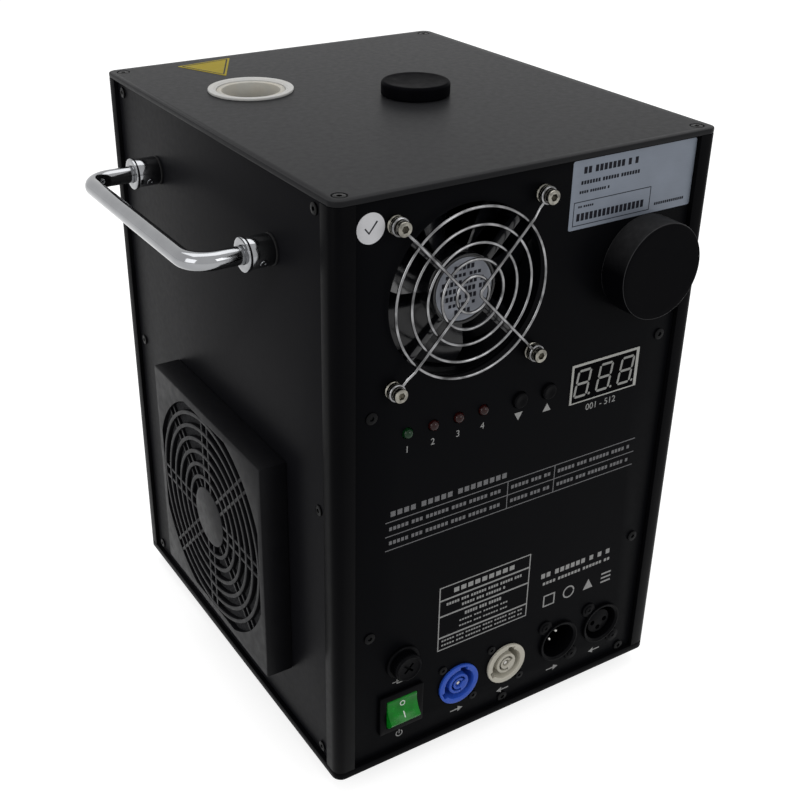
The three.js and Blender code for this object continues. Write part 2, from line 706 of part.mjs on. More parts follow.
function guardScrewPiece() {
  const eyeTop = guardPlane + guard.wire / 2 + clearance.seat;
  const headTop = eyeTop + guardScrew.headLength;
  const shank = guardScrew.shank / 2;
  const head = guardScrew.head / 2;
  const collar = guardScrew.collar / 2;
  const socket = guardScrew.socket / 2;
  return turned([
    [0, -shell.panel - exhaustFan.flange], [shank, -shell.panel - exhaustFan.flange], [shank, 0], [collar, 0],
    [collar, guardScrew.collarLength], [shank / 2, guardScrew.collarLength], [shank / 2, eyeTop], [head, eyeTop],
    [head, headTop], [socket, headTop], [socket, headTop - guardScrew.socketDepth],
    [0, headTop - guardScrew.socketDepth],
  ], facets.small);
}

piece('wire_guard', wireGuard(), finishes.chrome, exhaustGroup);
cornerSigns.forEach(([x, y], number) => {
  const span = screwSpanOf(exhaustFan);
  piece(`guard_screw_${number + 1}`, guardScrewPiece(), finishes.chrome, exhaustGroup, x * span, y * span, 0);
});

// Intake cover: a square box whose face is a grille of rings and paired spokes round a solid centre

const grilleHalf = intakeFan.side / 2 - grille.rim;

// How far out an opening may reach at an angle before it meets the straight rim
function rimRadius(angle) {
  return grilleHalf / Math.max(Math.abs(Math.cos(angle)), Math.abs(Math.sin(angle)));
}

// One opening between two rings, from one spoke to another, that ends beside the spokes' middle lines
function grilleSlot(inner, fromSpoke, toSpoke, beside, chords) {
  const step = 2 * Math.PI / grille.spokes;
  const reach = inner + grille.leastSlot;
  const closedAngle = reach > grilleHalf ? Math.acos(grilleHalf / reach) : 0;
  const onAxis = (spoke) => spoke % (grille.spokes / 4) === 0;
  const sides = [inner, inner + grille.slot].map((radius) => {
    const rib = Math.asin(beside / radius);
    const setback = (spoke) => (closedAngle > 0 && onAxis(spoke) ? Math.max(rib, closedAngle) : rib);
    const start = fromSpoke * step + setback(fromSpoke);
    const end = toSpoke * step - setback(toSpoke);
    const ways = arc(0, 0, 1, start, end, chords);
    return ways.map((way) => way.multiplyScalar(Math.min(radius, rimRadius(way.angle()))));
  });
  return [...sides[1], ...sides[0].reverse()];
}

function intakeCover() {
  const faceLow = grille.depth - grille.face;
  const outside = grille.spokePitch / 2 + grille.spoke / 2;
  const between = grille.spokePitch / 2 - grille.spoke / 2;
  const pitch = grille.slot + grille.rib;
  const fullRings = Math.floor((grilleHalf + grille.leastSlot - grille.centreRadius) / pitch);
  const holes = [];
  for (let ring = 0; ring <= fullRings; ring += 1) {
    const inner = grille.centreRadius + ring * pitch;
    for (let spoke = 0; spoke < grille.spokes; spoke += 1) {
      holes.push(grilleSlot(inner, spoke, spoke + 1, outside, facets.grilleArc));
      if (ring < fullRings || spoke % 2 === 1) {
        holes.push(grilleSlot(inner, spoke, spoke, -between, 1));
      }
    }
  }
  const square = rectangle(intakeFan.side, intakeFan.side);
  const inside = rectangle(intakeFan.side - 2 * grille.wall, intakeFan.side - 2 * grille.wall);
  const openings = holes.map((hole) => slab(hole, faceLow - overrun, grille.depth + overrun));
  return cut(slab(square, 0, grille.depth), slab(inside, -overrun, faceLow), ...openings);
}

piece('intake_cover', intakeCover(), finishes.blackPaint, intakeGroup);

// Round cover and the socket ring behind it

function roundCoverPiece() {
  const outer = roundCover.diameter / 2;
  const inner = outer - roundCover.wall;
  const edge = roundCover.edge;
  const top = roundCover.length;
  return turned([
    [inner, clearance.seat], [outer, clearance.seat],
    ...arc(outer - edge, top - edge, edge, 0, Math.PI / 2, facets.corner).map((point) => [point.x, point.y]),
    [0, top], [0, top - roundCover.face], [inner, top - roundCover.face], [inner, clearance.seat],
  ], facets.large);
}

function coverSocketPiece() {
  const outer = roundCover.diameter / 2 - roundCover.wall - clearance.running;
  return tube(outer, outer - coverSocket.wall, 0, coverSocket.length, facets.medium);
}

const coverPlace = [coverX, fromTop(roundCover.fromTop), 0];
piece('round_cover', roundCoverPiece(), finishes.blackPlastic, front, ...coverPlace);
piece('cover_socket', coverSocketPiece(), finishes.blackPlastic, front, ...coverPlace);

// Lights, buttons, display and their board

function lampPiece() {
  const radius = lamp.diameter / 2;
  const base = boardFace + clearance.seat;
  const dome = arc(0, lamp.proud - radius, radius, 0, Math.PI / 2, facets.corner).slice(0, -1);
  return turned([
    [0, base], [lamp.shoulder / 2, base], [lamp.shoulder / 2, base + lamp.shoulderLength],
    [radius, base + lamp.shoulderLength], ...dome.map((point) => [point.x, point.y]), [0, lamp.proud],
  ], facets.small);
}

function buttonPiece() {
  const radius = button.diameter / 2;
  const collarTop = -shell.panel - clearance.seat;
  const stemEnd = boardFace + board.keyHeight + button.travel + clearance.seat;
  return turned([
    [0, stemEnd], [radius, stemEnd], [radius, collarTop - button.collarLength],
    [button.collar / 2, collarTop - button.collarLength], [button.collar / 2, collarTop], [radius, collarTop],
    [radius, button.proud - button.edge], [radius - button.edge, button.proud], [0, button.proud],
  ], facets.small);
}

function displayPiece() {
  return chamferedSlab(rectangle(display.width, display.height), boardFace + clearance.seat, display.proud,
    display.edge);
}

function controlBoard() {
  const plate = block(boardWidth, board.height, boardFace - board.thickness, boardFace, 0, lampY);
  const keys = buttonPlaces.map((x) => block(board.keySwitch, board.keySwitch, boardFace - board.thickness / 2,
    boardFace + board.keyHeight, x, buttonY));
  return join(plate, ...keys);
}

lampPlaces.forEach((x, number) => {
  const finish = number === 0 ? finishes.greenLens : finishes.redLens;
  piece(`indicator_${number + 1}`, lampPiece(), finish, front, x, lampY, 0);
});
buttonPlaces.forEach((x, number) => {
  piece(['down_button', 'up_button'][number], buttonPiece(), finishes.blackPlastic, front, x, buttonY, 0);
});
piece('display', displayPiece(), finishes.whitePlastic, front, displayX, displayY, 0);
piece('control_board', controlBoard(), finishes.boardGreen, front);

// Fuse holder and cap

function fuseHolder() {
  const barrel = fuse.barrel / 2;
  const bore = fuse.stem / 2 + clearance.running;
  return turned([
    [0, -fuse.barrelLength], [barrel, -fuse.barrelLength], [barrel, 0], [fuse.flange / 2, 0],
    [fuse.flange / 2, fuse.flangeLength - clearance.seat], [fuse.flange / 2 - clearance.seat, fuse.flangeLength],
    [bore, fuse.flangeLength], [bore, -fuse.stemLength - clearance.seat], [0, -fuse.stemLength - clearance.seat],
  ], facets.medium);
}

function fuseCap() {
  const low = fuse.flangeLength + clearance.seat;
  const radius = fuse.cap / 2;
  const high = fuse.proud;
  const floor = high - fuse.rimRise;
  const blank = turned([
    [0, -fuse.stemLength], [fuse.stem / 2, -fuse.stemLength], [fuse.stem / 2, low], [radius, low],
    [radius, high - fuse.capEdge], [radius - fuse.capEdge, high], [radius - fuse.rim, high],
    [radius - fuse.rim, floor], [0, floor],
  ], facets.medium);
  const slot = block(fuse.slotLength, fuse.slotWidth, floor - fuse.slotDepth, high + overrun);
  return cut(blank, ...[1, 3].map((quarter) => slot.clone().rotateZ(quarter * Math.PI / 4)));
}

piece('fuse_holder', fuseHolder(), finishes.blackPlastic, front, fuseX, fuseY, 0);
piece('fuse_cap', fuseCap(), finishes.blackPlastic, front, fuseX, fuseY, 0);

// Power switch: the rocker is a drum with a hollowed face, tilted up at rest on its lower side

function switchBody() {
  const outside = join(
    slab(rectangle(powerSwitch.bezelWidth, powerSwitch.bezelHeight, powerSwitch.bezelCorner), 0, powerSwitch.bezel),
    block(powerSwitch.bodyWidth, powerSwitch.bodyHeight, -powerSwitch.bodyLength, powerSwitch.bezel / 2),
  );
  const drumHalf = rocker.width / 2 + clearance.running;
  const well = drill(rocker.radius + clearance.running, -drumHalf, drumHalf, facets.large);
  const axleHole = drill(rocker.axle / 2 + clearance.running, -drumHalf - rocker.axleEnd, drumHalf + rocker.axleEnd,
    facets.small);
  return cut(outside, ...[well, axleHole].map((tool) => moved(tool.rotateY(Math.PI / 2), 0, 0, -rocker.pivotDepth)));
}

function rockerPiece() {
  const edge = THREE.MathUtils.degToRad(rocker.edgeAngle);
  const edgeX = rocker.radius * Math.cos(edge);
  const edgeY = rocker.radius * Math.sin(edge);
  const hollowRadius = (edgeX * edgeX + rocker.dip * rocker.dip) / (2 * rocker.dip);
  const sweep = Math.asin(edgeX / hollowRadius);
  const heel = Math.asin(rocker.heel / rocker.radius);
  const outline = [
    ...arc(0, 0, rocker.radius, -heel, edge, 2 * facets.corner),
    ...arc(0, edgeY + hollowRadius - rocker.dip, hollowRadius, sweep - Math.PI / 2, -sweep - Math.PI / 2,
      2 * facets.corner).slice(1, -1),
    ...arc(0, 0, rocker.radius, Math.PI - edge, Math.PI + heel, 2 * facets.corner),
  ];
  const drum = slab(outline, -rocker.width / 2, rocker.width / 2);
  const axle = rod(rocker.axle / 2, -rocker.width / 2 - rocker.axleEnd, rocker.width / 2 + rocker.axleEnd,
    facets.small);
  return join(drum, axle).rotateY(Math.PI / 2).rotateX(Math.PI / 2);
}

piece('power_switch', switchBody(), finishes.blackPlastic, front, switchX, switchY, 0);
const rockerGroup = new THREE.Group();
rockerGroup.position.set(switchX, switchY, -rocker.pivotDepth);
rockerGroup.rotation.x = -THREE.MathUtils.degToRad(rocker.restTilt);
front.add(rockerGroup);
piece('power_rocker', rockerPiece(), finishes.greenPlastic, rockerGroup);

// Locking power connectors: a keyed ring with a post in its bore

function powerConnector() {
  const bore = powerSocket.bore / 2;
  const blank = turned([
    [0, -powerSocket.barrelLength], [powerSocket.barrel / 2, -powerSocket.barrelLength],
    [powerSocket.barrel / 2, 0], [powerSocket.ring / 2, 0], [powerSocket.ring / 2, powerSocket.ringLength],
    [bore, powerSocket.ringLength], [bore, -powerSocket.boreDepth], [powerSocket.post / 2, -powerSocket.boreDepth],
    [powerSocket.post / 2, powerSocket.ringLength - powerSocket.postSetback],
    [powerSocket.contact / 2, powerSocket.ringLength - powerSocket.postSetback],
    [powerSocket.contact / 2, -powerSocket.contactDepth], [0, -powerSocket.contactDepth],
  ], facets.medium);
  const keys = powerKeyAngles.map((angle) => block(
    powerSocket.keyDepth + overrun, powerSocket.keyWidth, -powerSocket.boreDepth, powerSocket.ringLength + overrun,
    bore - overrun / 2 + powerSocket.keyDepth / 2, 0,
  ).rotateZ(THREE.MathUtils.degToRad(angle)));
  return cut(blank, ...keys);
}

// Round data connectors: a ring with two screw ears; one holds pins, the other an insert with sockets

function dataShell() {
  const ring = rod(dataSocket.ring / 2, 0, dataSocket.ringLength, facets.medium);
  const ears = [[-1, 1], [1, -1]].map(([sideX, sideY]) => moved(
    rod(dataSocket.ear, 0, dataSocket.ringLength, facets.small), sideX * dataSocket.earAcross,
    sideY * dataSocket.earUp, 0,
  ));
  const barrel = rod(dataSocket.barrel / 2, -dataSocket.barrelLength, dataSocket.ringLength / 2, facets.medium);
  const bore = rod(dataSocket.bore / 2, -dataSocket.boreDepth, dataSocket.ringLength + overrun, facets.medium);
  return cut(join(ring, ...ears, barrel), bore);
}

function contactPlaces() {
  return contactAngles.map((degrees) => {
    const angle = THREE.MathUtils.degToRad(degrees);
    return [dataSocket.pinCircle * Math.cos(angle), dataSocket.pinCircle * Math.sin(angle)];
  });
}

function dataIn() {
  const pins = contactPlaces().map(([x, y]) => moved(
    rod(dataSocket.pin / 2, -dataSocket.boreDepth - overrun, dataSocket.pinLength - dataSocket.boreDepth,
      facets.small), x, y, 0,
  ));
  return join(dataShell(), ...pins);
}

function dataOut() {
  const face = dataSocket.ringLength - dataSocket.insertSetback;
  const insert = rod(dataSocket.insert / 2, -dataSocket.boreDepth - overrun, face, facets.medium);
  const holes = contactPlaces().map(([x, y]) => moved(
    rod(dataSocket.contact / 2, face - dataSocket.contactDepth, face + overrun, facets.small), x, y, 0,
  ));
  return cut(join(dataShell(), insert), ...holes);
}

piece('power_inlet', powerConnector(), finishes.bluePlastic, front, inletX, socketY, 0);
piece('power_outlet', powerConnector(), finishes.greyPlastic, front, outletX, socketY, 0);
piece('data_in_socket', dataIn(), finishes.blackPlastic, front, dataInX, socketY, 0);
piece('data_out_socket', dataOut(), finishes.blackPlastic, front, dataOutX, socketY, 0);

// Spark path: ceramic ring, and the heater tube whose collar takes the ring's spigot

function nozzleRing() {
  const bore = nozzle.bore / 2;
  const flange = nozzle.flange / 2;
  const top = topOfBody + nozzle.rise;
  return turned([
    [bore, topOfBody - nozzle.spigotLength], [nozzle.spigot / 2, topOfBody - nozzle.spigotLength],
    [nozzle.spigot / 2, topOfBody], [flange, topOfBody], [flange, top - nozzle.edge], [flange - nozzle.edge, top],
    [bore, top], [bore, topOfBody - nozzle.spigotLength],
  ], facets.large);
}

const heaterTop = underTopPlate - clearance.seat;
const blowerAxis = overBottomPlate + clearance.seat + blower.axisHeight;
const heaterBottom = blowerAxis + blower.rise + clearance.seat;

function heaterTube() {
  const socket = around(nozzle.spigot / 2 + clearance.seat, facets.inner);
  const socketBottom = topOfBody - nozzle.spigotLength - clearance.seat;
  const bore = heater.bore / 2;
  return turned([
    [bore, heaterBottom], [heater.tube / 2, heaterBottom], [heater.tube / 2, socketBottom - heater.socketFloor],
    [heater.collar / 2, socketBottom - heater.socketFloor], [heater.collar / 2, heaterTop], [socket, heaterTop],
    [socket, socketBottom], [bore, socketBottom], [bore, heaterBottom],
  ], facets.inner);
}

function heaterWithInlet() {
  const inlet = rod(feedTube.outer / 2 - feedTube.wall, 0, heater.tube / 2 + overrun, facets.inner)
    .rotateY(Math.PI / 2).rotateZ(feedDirection + Math.PI);
  return cut(heaterTube(), moved(inlet, 0, 0, feederLevel));
}

// Feed cap, hopper and screw feeder; the feeder runs level from under the hopper to the heater tube

function hopperNeckRadius() {
  return around(feedCap.plug / 2 + clearance.seat, facets.inner) + hopper.neckWall;
}

function feedCapPiece() {
  const low = topOfBody + clearance.seat;
  const high = topOfBody + feedCap.rise;
  const radius = feedCap.diameter / 2;
  const plug = feedCap.plug / 2;
  return turned([
    [0, low], [plug - feedCap.plugWall, low], [plug - feedCap.plugWall, low - feedCap.plugLength],
    [plug, low - feedCap.plugLength], [plug, low], [radius, low], [radius, high - feedCap.edge],
    [radius - feedCap.edge, high], [0, high],
  ], facets.medium);
}

const feederLevel = topOfBody - hopper.bottom - feedTube.outer / 2;
const feedRun = new THREE.Vector2(nozzleX - feedX, nozzleY - feedY);
const feedDirection = feedRun.angle();

function hopperPiece() {
  const inner = around(feedCap.plug / 2 + clearance.seat, facets.inner);
  const neck = hopperNeckRadius();
  const neckEnd = underTopPlate - clearance.seat;
  const shoulder = hopper.shoulder / 2;
  const shoulderLevel = topOfBody - hopper.shoulderDrop;
  const sideLevel = shoulderLevel - hopper.side;
  const outlet = hopper.outlet / 2;
  const outletLevel = topOfBody - hopper.outletTop;
  const bottom = topOfBody - hopper.bottom - feedTube.wall / 2;
  const skin = hopper.wall;
  return turned([
    [inner, topOfBody], [neck, topOfBody], [neck, neckEnd], [shoulder, shoulderLevel], [shoulder, sideLevel],
    [outlet, outletLevel], [outlet, bottom], [outlet - skin, bottom], [outlet - skin, outletLevel],
    [shoulder - skin, sideLevel], [shoulder - skin, shoulderLevel - skin], [inner, neckEnd - skin], [inner, topOfBody],
  ], facets.inner);
}

const feedLength = feedRun.length() - heater.tube / 2 - clearance.seat;

function feedTubePiece() {
  const outer = feedTube.outer / 2;
  const inner = outer - feedTube.wall;
  const pipe = turned([
    [inner, -feedTube.behind], [feedTube.flange / 2, -feedTube.behind],
    [feedTube.flange / 2, feedTube.flangeLength - feedTube.behind], [outer, feedTube.flangeLength - feedTube.behind],
    [outer, feedLength], [inner, feedLength], [inner, -feedTube.behind],
  ], facets.inner).rotateY(Math.PI / 2);
  const mouth = drill(hopper.outlet / 2 + clearance.seat, 0, feedTube.outer, facets.inner);
  return cut(pipe, mouth);
}

function augerPiece() {
  const outer = feedTube.outer / 2 - feedTube.wall - clearance.running;
  const inner = auger.shaft / 2 - auger.flight / 2;
  const start = -feedTube.behind + clearance.running + auger.flight;
  const end = feedLength - auger.flight;
  const turns = (end - start) / auger.pitch;
  const steps = Math.round(turns * facets.screwTurn);
  const sections = [];
  for (let i = 0; i <= steps; i += 1) {
    const angle = 2 * Math.PI * turns * i / steps;
    const height = start + (end - start) * i / steps;
    const corner = (radius, half) => new THREE.Vector3(radius * Math.cos(angle), radius * Math.sin(angle),
      height + half);
    sections.push([corner(inner, -auger.flight / 2), corner(outer, 0), corner(inner, auger.flight / 2)]);
  }
  const shaft = rod(auger.shaft / 2, -feedTube.behind - auger.driveLength, end + auger.flight, facets.small);
  return join(loft(sections), shaft).rotateY(Math.PI / 2);
}

function feedMotorPiece() {
  const face = -feedTube.behind - clearance.seat;
  const gearboxEnd = face - feedMotor.gearboxLength;
  const motorEnd = gearboxEnd - feedMotor.motorLength;
  const bore = auger.shaft / 2 + clearance.running;
  const boreEnd = -feedTube.behind - auger.driveLength - clearance.seat;
  return turned([
    [bore, face], [bore, boreEnd], [0, boreEnd], [0, motorEnd - feedMotor.bossLength],
    [feedMotor.boss / 2, motorEnd - feedMotor.bossLength], [feedMotor.boss / 2, motorEnd],
    [feedMotor.motor / 2, motorEnd], [feedMotor.motor / 2, gearboxEnd], [feedMotor.gearbox / 2, gearboxEnd],
    [feedMotor.gearbox / 2, face], [bore, face],
  ], facets.inner).rotateY(Math.PI / 2);
}

piece('nozzle_ring', nozzleRing(), finishes.ceramic, machine, nozzleX, nozzleY, 0);
piece('heater_tube', heaterWithInlet(), finishes.ceramic, machine, nozzleX, nozzleY, 0);
piece('feed_cap', feedCapPiece(), finishes.blackPlastic, machine, feedX, feedY, 0);
piece('hopper', hopperPiece(), finishes.steel, machine, feedX, feedY, 0);
const feeder = new THREE.Group();
feeder.position.set(feedX, feedY, feederLevel);
feeder.rotation.z = feedDirection;
machine.add(feeder);
piece('feed_tube', feedTubePiece(), finishes.steel, feeder);
piece('feed_auger', augerPiece(), finishes.steel, feeder);
piece('feed_motor', feedMotorPiece(), finishes.steel, feeder);

// Blower: a spiral housing that opens upwards under the heater tube, with a drum impeller

function blowerOutline(inset) {
  const halfOutlet = blower.outlet / 2;
  const wheelX = blower.largest - halfOutlet;
  const endAngle = Math.acos((halfOutlet - wheelX) / blower.smallest);
  const sweep = Math.PI + endAngle;
  const top = blower.rise + (inset > 0 ? overrun : 0);
  const points = [new THREE.Vector2(inset - halfOutlet, top)];
  for (let i = 0; i <= facets.medium; i += 1) {
    const angle = Math.PI + sweep * i / facets.medium;
    const radius = THREE.MathUtils.lerp(blower.largest, blower.smallest, i / facets.medium) - inset;
    points.push(new THREE.Vector2(wheelX + radius * Math.cos(angle), radius * Math.sin(angle)));
  }
  points.push(new THREE.Vector2(halfOutlet - inset, top));
  return points;
}

function blowerHousing() {
  const half = blower.width / 2;
  const wheelX = blower.largest - blower.outlet / 2;
  const shaftHole = drill(impeller.shaft / 2 + clearance.running, -half - blower.bearingLength + blower.wall, 0,
    facets.small);
  return cut(
    join(
      slab(blowerOutline(0), -half, half),
      slab([
        new THREE.Vector2(wheelX - blower.stand / 2, -blower.axisHeight),
        new THREE.Vector2(wheelX + blower.stand / 2, -blower.axisHeight),
        new THREE.Vector2(wheelX, 0),
      ], -half, half),
      moved(rod(blower.bearing + blower.wall, -half - blower.bearingLength, 0, facets.small), wheelX, 0, 0),
    ),
    slab(blowerOutline(blower.wall), blower.wall - half, half - blower.wall),
    moved(rod(blower.inlet, 0, half + overrun, facets.medium), wheelX, 0, 0),
    moved(shaftHole, wheelX, 0, 0),
  );
}

function blowerImpeller() {
  const low = blower.wall - blower.width / 2 + impeller.sideGap;
  const high = low + impeller.width;
  const disc = rod(impeller.radius, low, low + impeller.disc, facets.inner);
  const ring = tube(impeller.radius, impeller.radius - impeller.ringWidth, high - impeller.ring, high, facets.inner);
  const hub = rod(impeller.hub, low, high - impeller.ringWidth, facets.inner);
  const shaft = rod(impeller.shaft / 2, -blower.width / 2 - blower.bearingLength + blower.wall + clearance.seat, 0,
    facets.inner);
  const parts = [disc, ring, hub, shaft];
  for (let i = 0; i < impeller.blades; i += 1) {
    const middle = impeller.radius - impeller.bladeDepth / 2 - impeller.blade / 2;
    const blade = block(impeller.bladeDepth, impeller.blade, low + impeller.disc / 2, high - impeller.ring / 2)
      .rotateZ(impeller.lean);
    parts.push(moved(blade, middle, 0, 0).rotateZ(i * 2 * Math.PI / impeller.blades));
  }
  return join(...parts);
}

const blowerGroup = new THREE.Group();
blowerGroup.rotation.x = Math.PI / 2;
blowerGroup.position.set(nozzleX, nozzleY, blowerAxis);
machine.add(blowerGroup);
piece('blower_housing', blowerHousing(), finishes.blackPlastic, blowerGroup);
piece('blower_impeller', blowerImpeller(), finishes.blackPlastic, blowerGroup,
  blower.largest - blower.outlet / 2, 0, 0);

// Power supply: a steel case with a lower end for the terminals

const supplyLeft = nozzleX + supply.besideNozzle;
const supplyRight = panelSide - shell.panel - supply.besideWall;
const supplyY = panelFront - shell.panel - supply.beforeBack - supply.depth / 2;

function powerSupply() {
  const half = supply.depth / 2;
  const outline = [
    new THREE.Vector2(-half, 0), new THREE.Vector2(half, 0), new THREE.Vector2(half, supply.height - supply.chamfer),
    new THREE.Vector2(half - supply.chamfer, supply.height),
    new THREE.Vector2(supply.notch - half, supply.height), new THREE.Vector2(supply.notch - half, supply.notchHeight),
    new THREE.Vector2(-half, supply.notchHeight),
  ];
  return slab(outline, supplyLeft, supplyRight).rotateX(Math.PI / 2).rotateZ(Math.PI / 2);
}

piece('power_supply', powerSupply(), finishes.steel, machine, 0, supplyY, overBottomPlate);

export default machine;
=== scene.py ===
"""Cold spark machine: the look of every piece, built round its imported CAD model.

Sizes are in millimetres on the axes of the face that a piece stands on: X runs to the right as the
face is seen from outside, Y runs up it (towards the back on the top), and Z comes out of it.
"""

import logging
import math
from dataclasses import dataclass, field
from enum import Enum
from functools import lru_cache
from typing import Sequence

import bmesh
import bpy
from mathutils import Matrix, Vector


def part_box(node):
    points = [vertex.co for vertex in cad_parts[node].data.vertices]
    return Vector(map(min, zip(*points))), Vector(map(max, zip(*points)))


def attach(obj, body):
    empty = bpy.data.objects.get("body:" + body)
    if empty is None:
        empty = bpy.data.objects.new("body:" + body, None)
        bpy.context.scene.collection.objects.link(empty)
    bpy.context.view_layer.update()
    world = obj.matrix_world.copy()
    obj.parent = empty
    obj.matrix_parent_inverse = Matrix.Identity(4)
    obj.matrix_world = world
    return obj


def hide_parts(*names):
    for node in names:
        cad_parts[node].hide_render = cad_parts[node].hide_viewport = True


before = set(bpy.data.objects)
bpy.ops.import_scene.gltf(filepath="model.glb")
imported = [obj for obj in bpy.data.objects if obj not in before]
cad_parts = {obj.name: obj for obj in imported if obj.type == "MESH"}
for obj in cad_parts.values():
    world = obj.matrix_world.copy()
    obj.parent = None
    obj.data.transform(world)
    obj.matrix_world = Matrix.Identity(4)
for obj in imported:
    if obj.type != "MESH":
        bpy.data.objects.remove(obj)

log = logging.getLogger("cold_spark_machine")

Colour = tuple[float, float, float]
Profile = Sequence[tuple[float, float]]
Point = tuple[float, float]
Socket = bpy.types.NodeSocket
Feed = Socket | float | tuple[float, ...]

MM = 0.001
SHARP = math.radians(32)  # an edge that turns more than this is sharp
WELD = 1e-4  # points nearer to each other than this are one
PROUD = 1.0  # how far a cutting form stands past what it cuts
FONT_TALL = 0.7  # the height of a figure for a font size of 1
SMOOTHEST = 0.04  # the least roughness of a finish
WHITE = (1, 1, 1, 1)
STILL = Matrix.Identity(4)


class Body(Enum):
    """The bodies of the frame that pieces ride on."""

    MACHINE = "machine"
    ROCKER = "power_rocker"
    DOWN_BUTTON = "down_button"
    UP_BUTTON = "up_button"
    EXHAUST_ROTOR = "exhaust_rotor"
    INTAKE_ROTOR = "intake_rotor"
    FEED_CAP = "feed_cap"
    ROUND_COVER = "round_cover"
    FUSE_CAP = "fuse_cap"


class Side(Enum):
    """A face of the casing: the way it looks, the way its X axis runs, and the node that is its skin."""

    FRONT = ((0, -1, 0), (1, 0, 0), "control_panel")
    BACK = ((0, 1, 0), (-1, 0, 0), "back_panel")
    LEFT = ((-1, 0, 0), (0, -1, 0), "left_panel")
    RIGHT = ((1, 0, 0), (0, 1, 0), "right_panel")
    TOP = ((0, 0, 1), (1, 0, 0), "top_plate")

    def at(self, place: Vector) -> Matrix:
        """The axes of this face.

        Args:
            place: where their origin is in the frame.

        Returns:
            The axes.
        """
        out, along = Vector(self.value[0]), Vector(self.value[1])
        axes = Matrix((along, out.cross(along), out)).transposed()
        return Matrix.Translation(place) @ axes.to_4x4()

    def before(self, node: str) -> Matrix:
        """The axes of this face, with their origin on its skin.

        Args:
            node: the CAD node before whose middle the origin is.

        Returns:
            The axes.
        """
        place = middle(node)
        low, high = extent(self.value[2])
        for axis, way in enumerate(self.value[0]):
            if way:
                place[axis] = high[axis] if way > 0 else low[axis]
        return self.at(place)

    def sheet(self) -> Matrix:
        """The axes of this face with the frame's own X and Z as its X and Y, for the front panel."""
        low, _ = extent(self.value[2])
        return self.at(Vector((0, low.y, 0)))


def extent(node: str) -> tuple[Vector, Vector]:
    """The lowest and highest corner of a CAD node, in millimetres."""
    low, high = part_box(node)
    return low / MM, high / MM


def middle(node: str) -> Vector:
    """The middle of a CAD node's box, in millimetres."""
    low, high = extent(node)
    return (low + high) / 2


def size_of(node: str) -> Vector:
    """The sides of a CAD node's box, in millimetres."""
    low, high = extent(node)
    return high - low


def shift(x: float, y: float, z: float = 0.0) -> Matrix:
    """A move on a piece's own axes."""
    return Matrix.Translation((x, y, z))


def turn(angle: float, axis: str = "Z") -> Matrix:
    """A turn about one of a piece's own axes, in degrees."""
    return Matrix.Rotation(math.radians(angle), 4, axis)


def arc(centre: Point, radius: float, start: float, end: float, steps: int) -> list[Point]:
    """Points along an arc, both ends included, with its angles in degrees."""
    angles = [math.radians(start + (end - start) * step / steps) for step in range(steps + 1)]
    return [(centre[0] + radius * math.cos(a), centre[1] + radius * math.sin(a)) for a in angles]


def only(items: Sequence[object], kind: type) -> list:
    """Those of some mesh elements that are of one kind."""
    return [item for item in items if isinstance(item, kind)]


def finished(thing: bpy.types.Object) -> bpy.types.Mesh:
    """The mesh that a text or an object with a modifier comes to."""
    bpy.context.view_layer.update()
    return bpy.data.meshes.new_from_object(thing.evaluated_get(bpy.context.evaluated_depsgraph_get()))


def stand(name: str, data: bpy.types.ID) -> bpy.types.Object:
    """Puts a new object into the scene.

    Args:
        name: its name.
        data: its mesh, text, light or camera.

    Returns:
        The object.
    """
    thing = bpy.data.objects.new(name, data)
    bpy.context.scene.collection.objects.link(thing)
    return thing


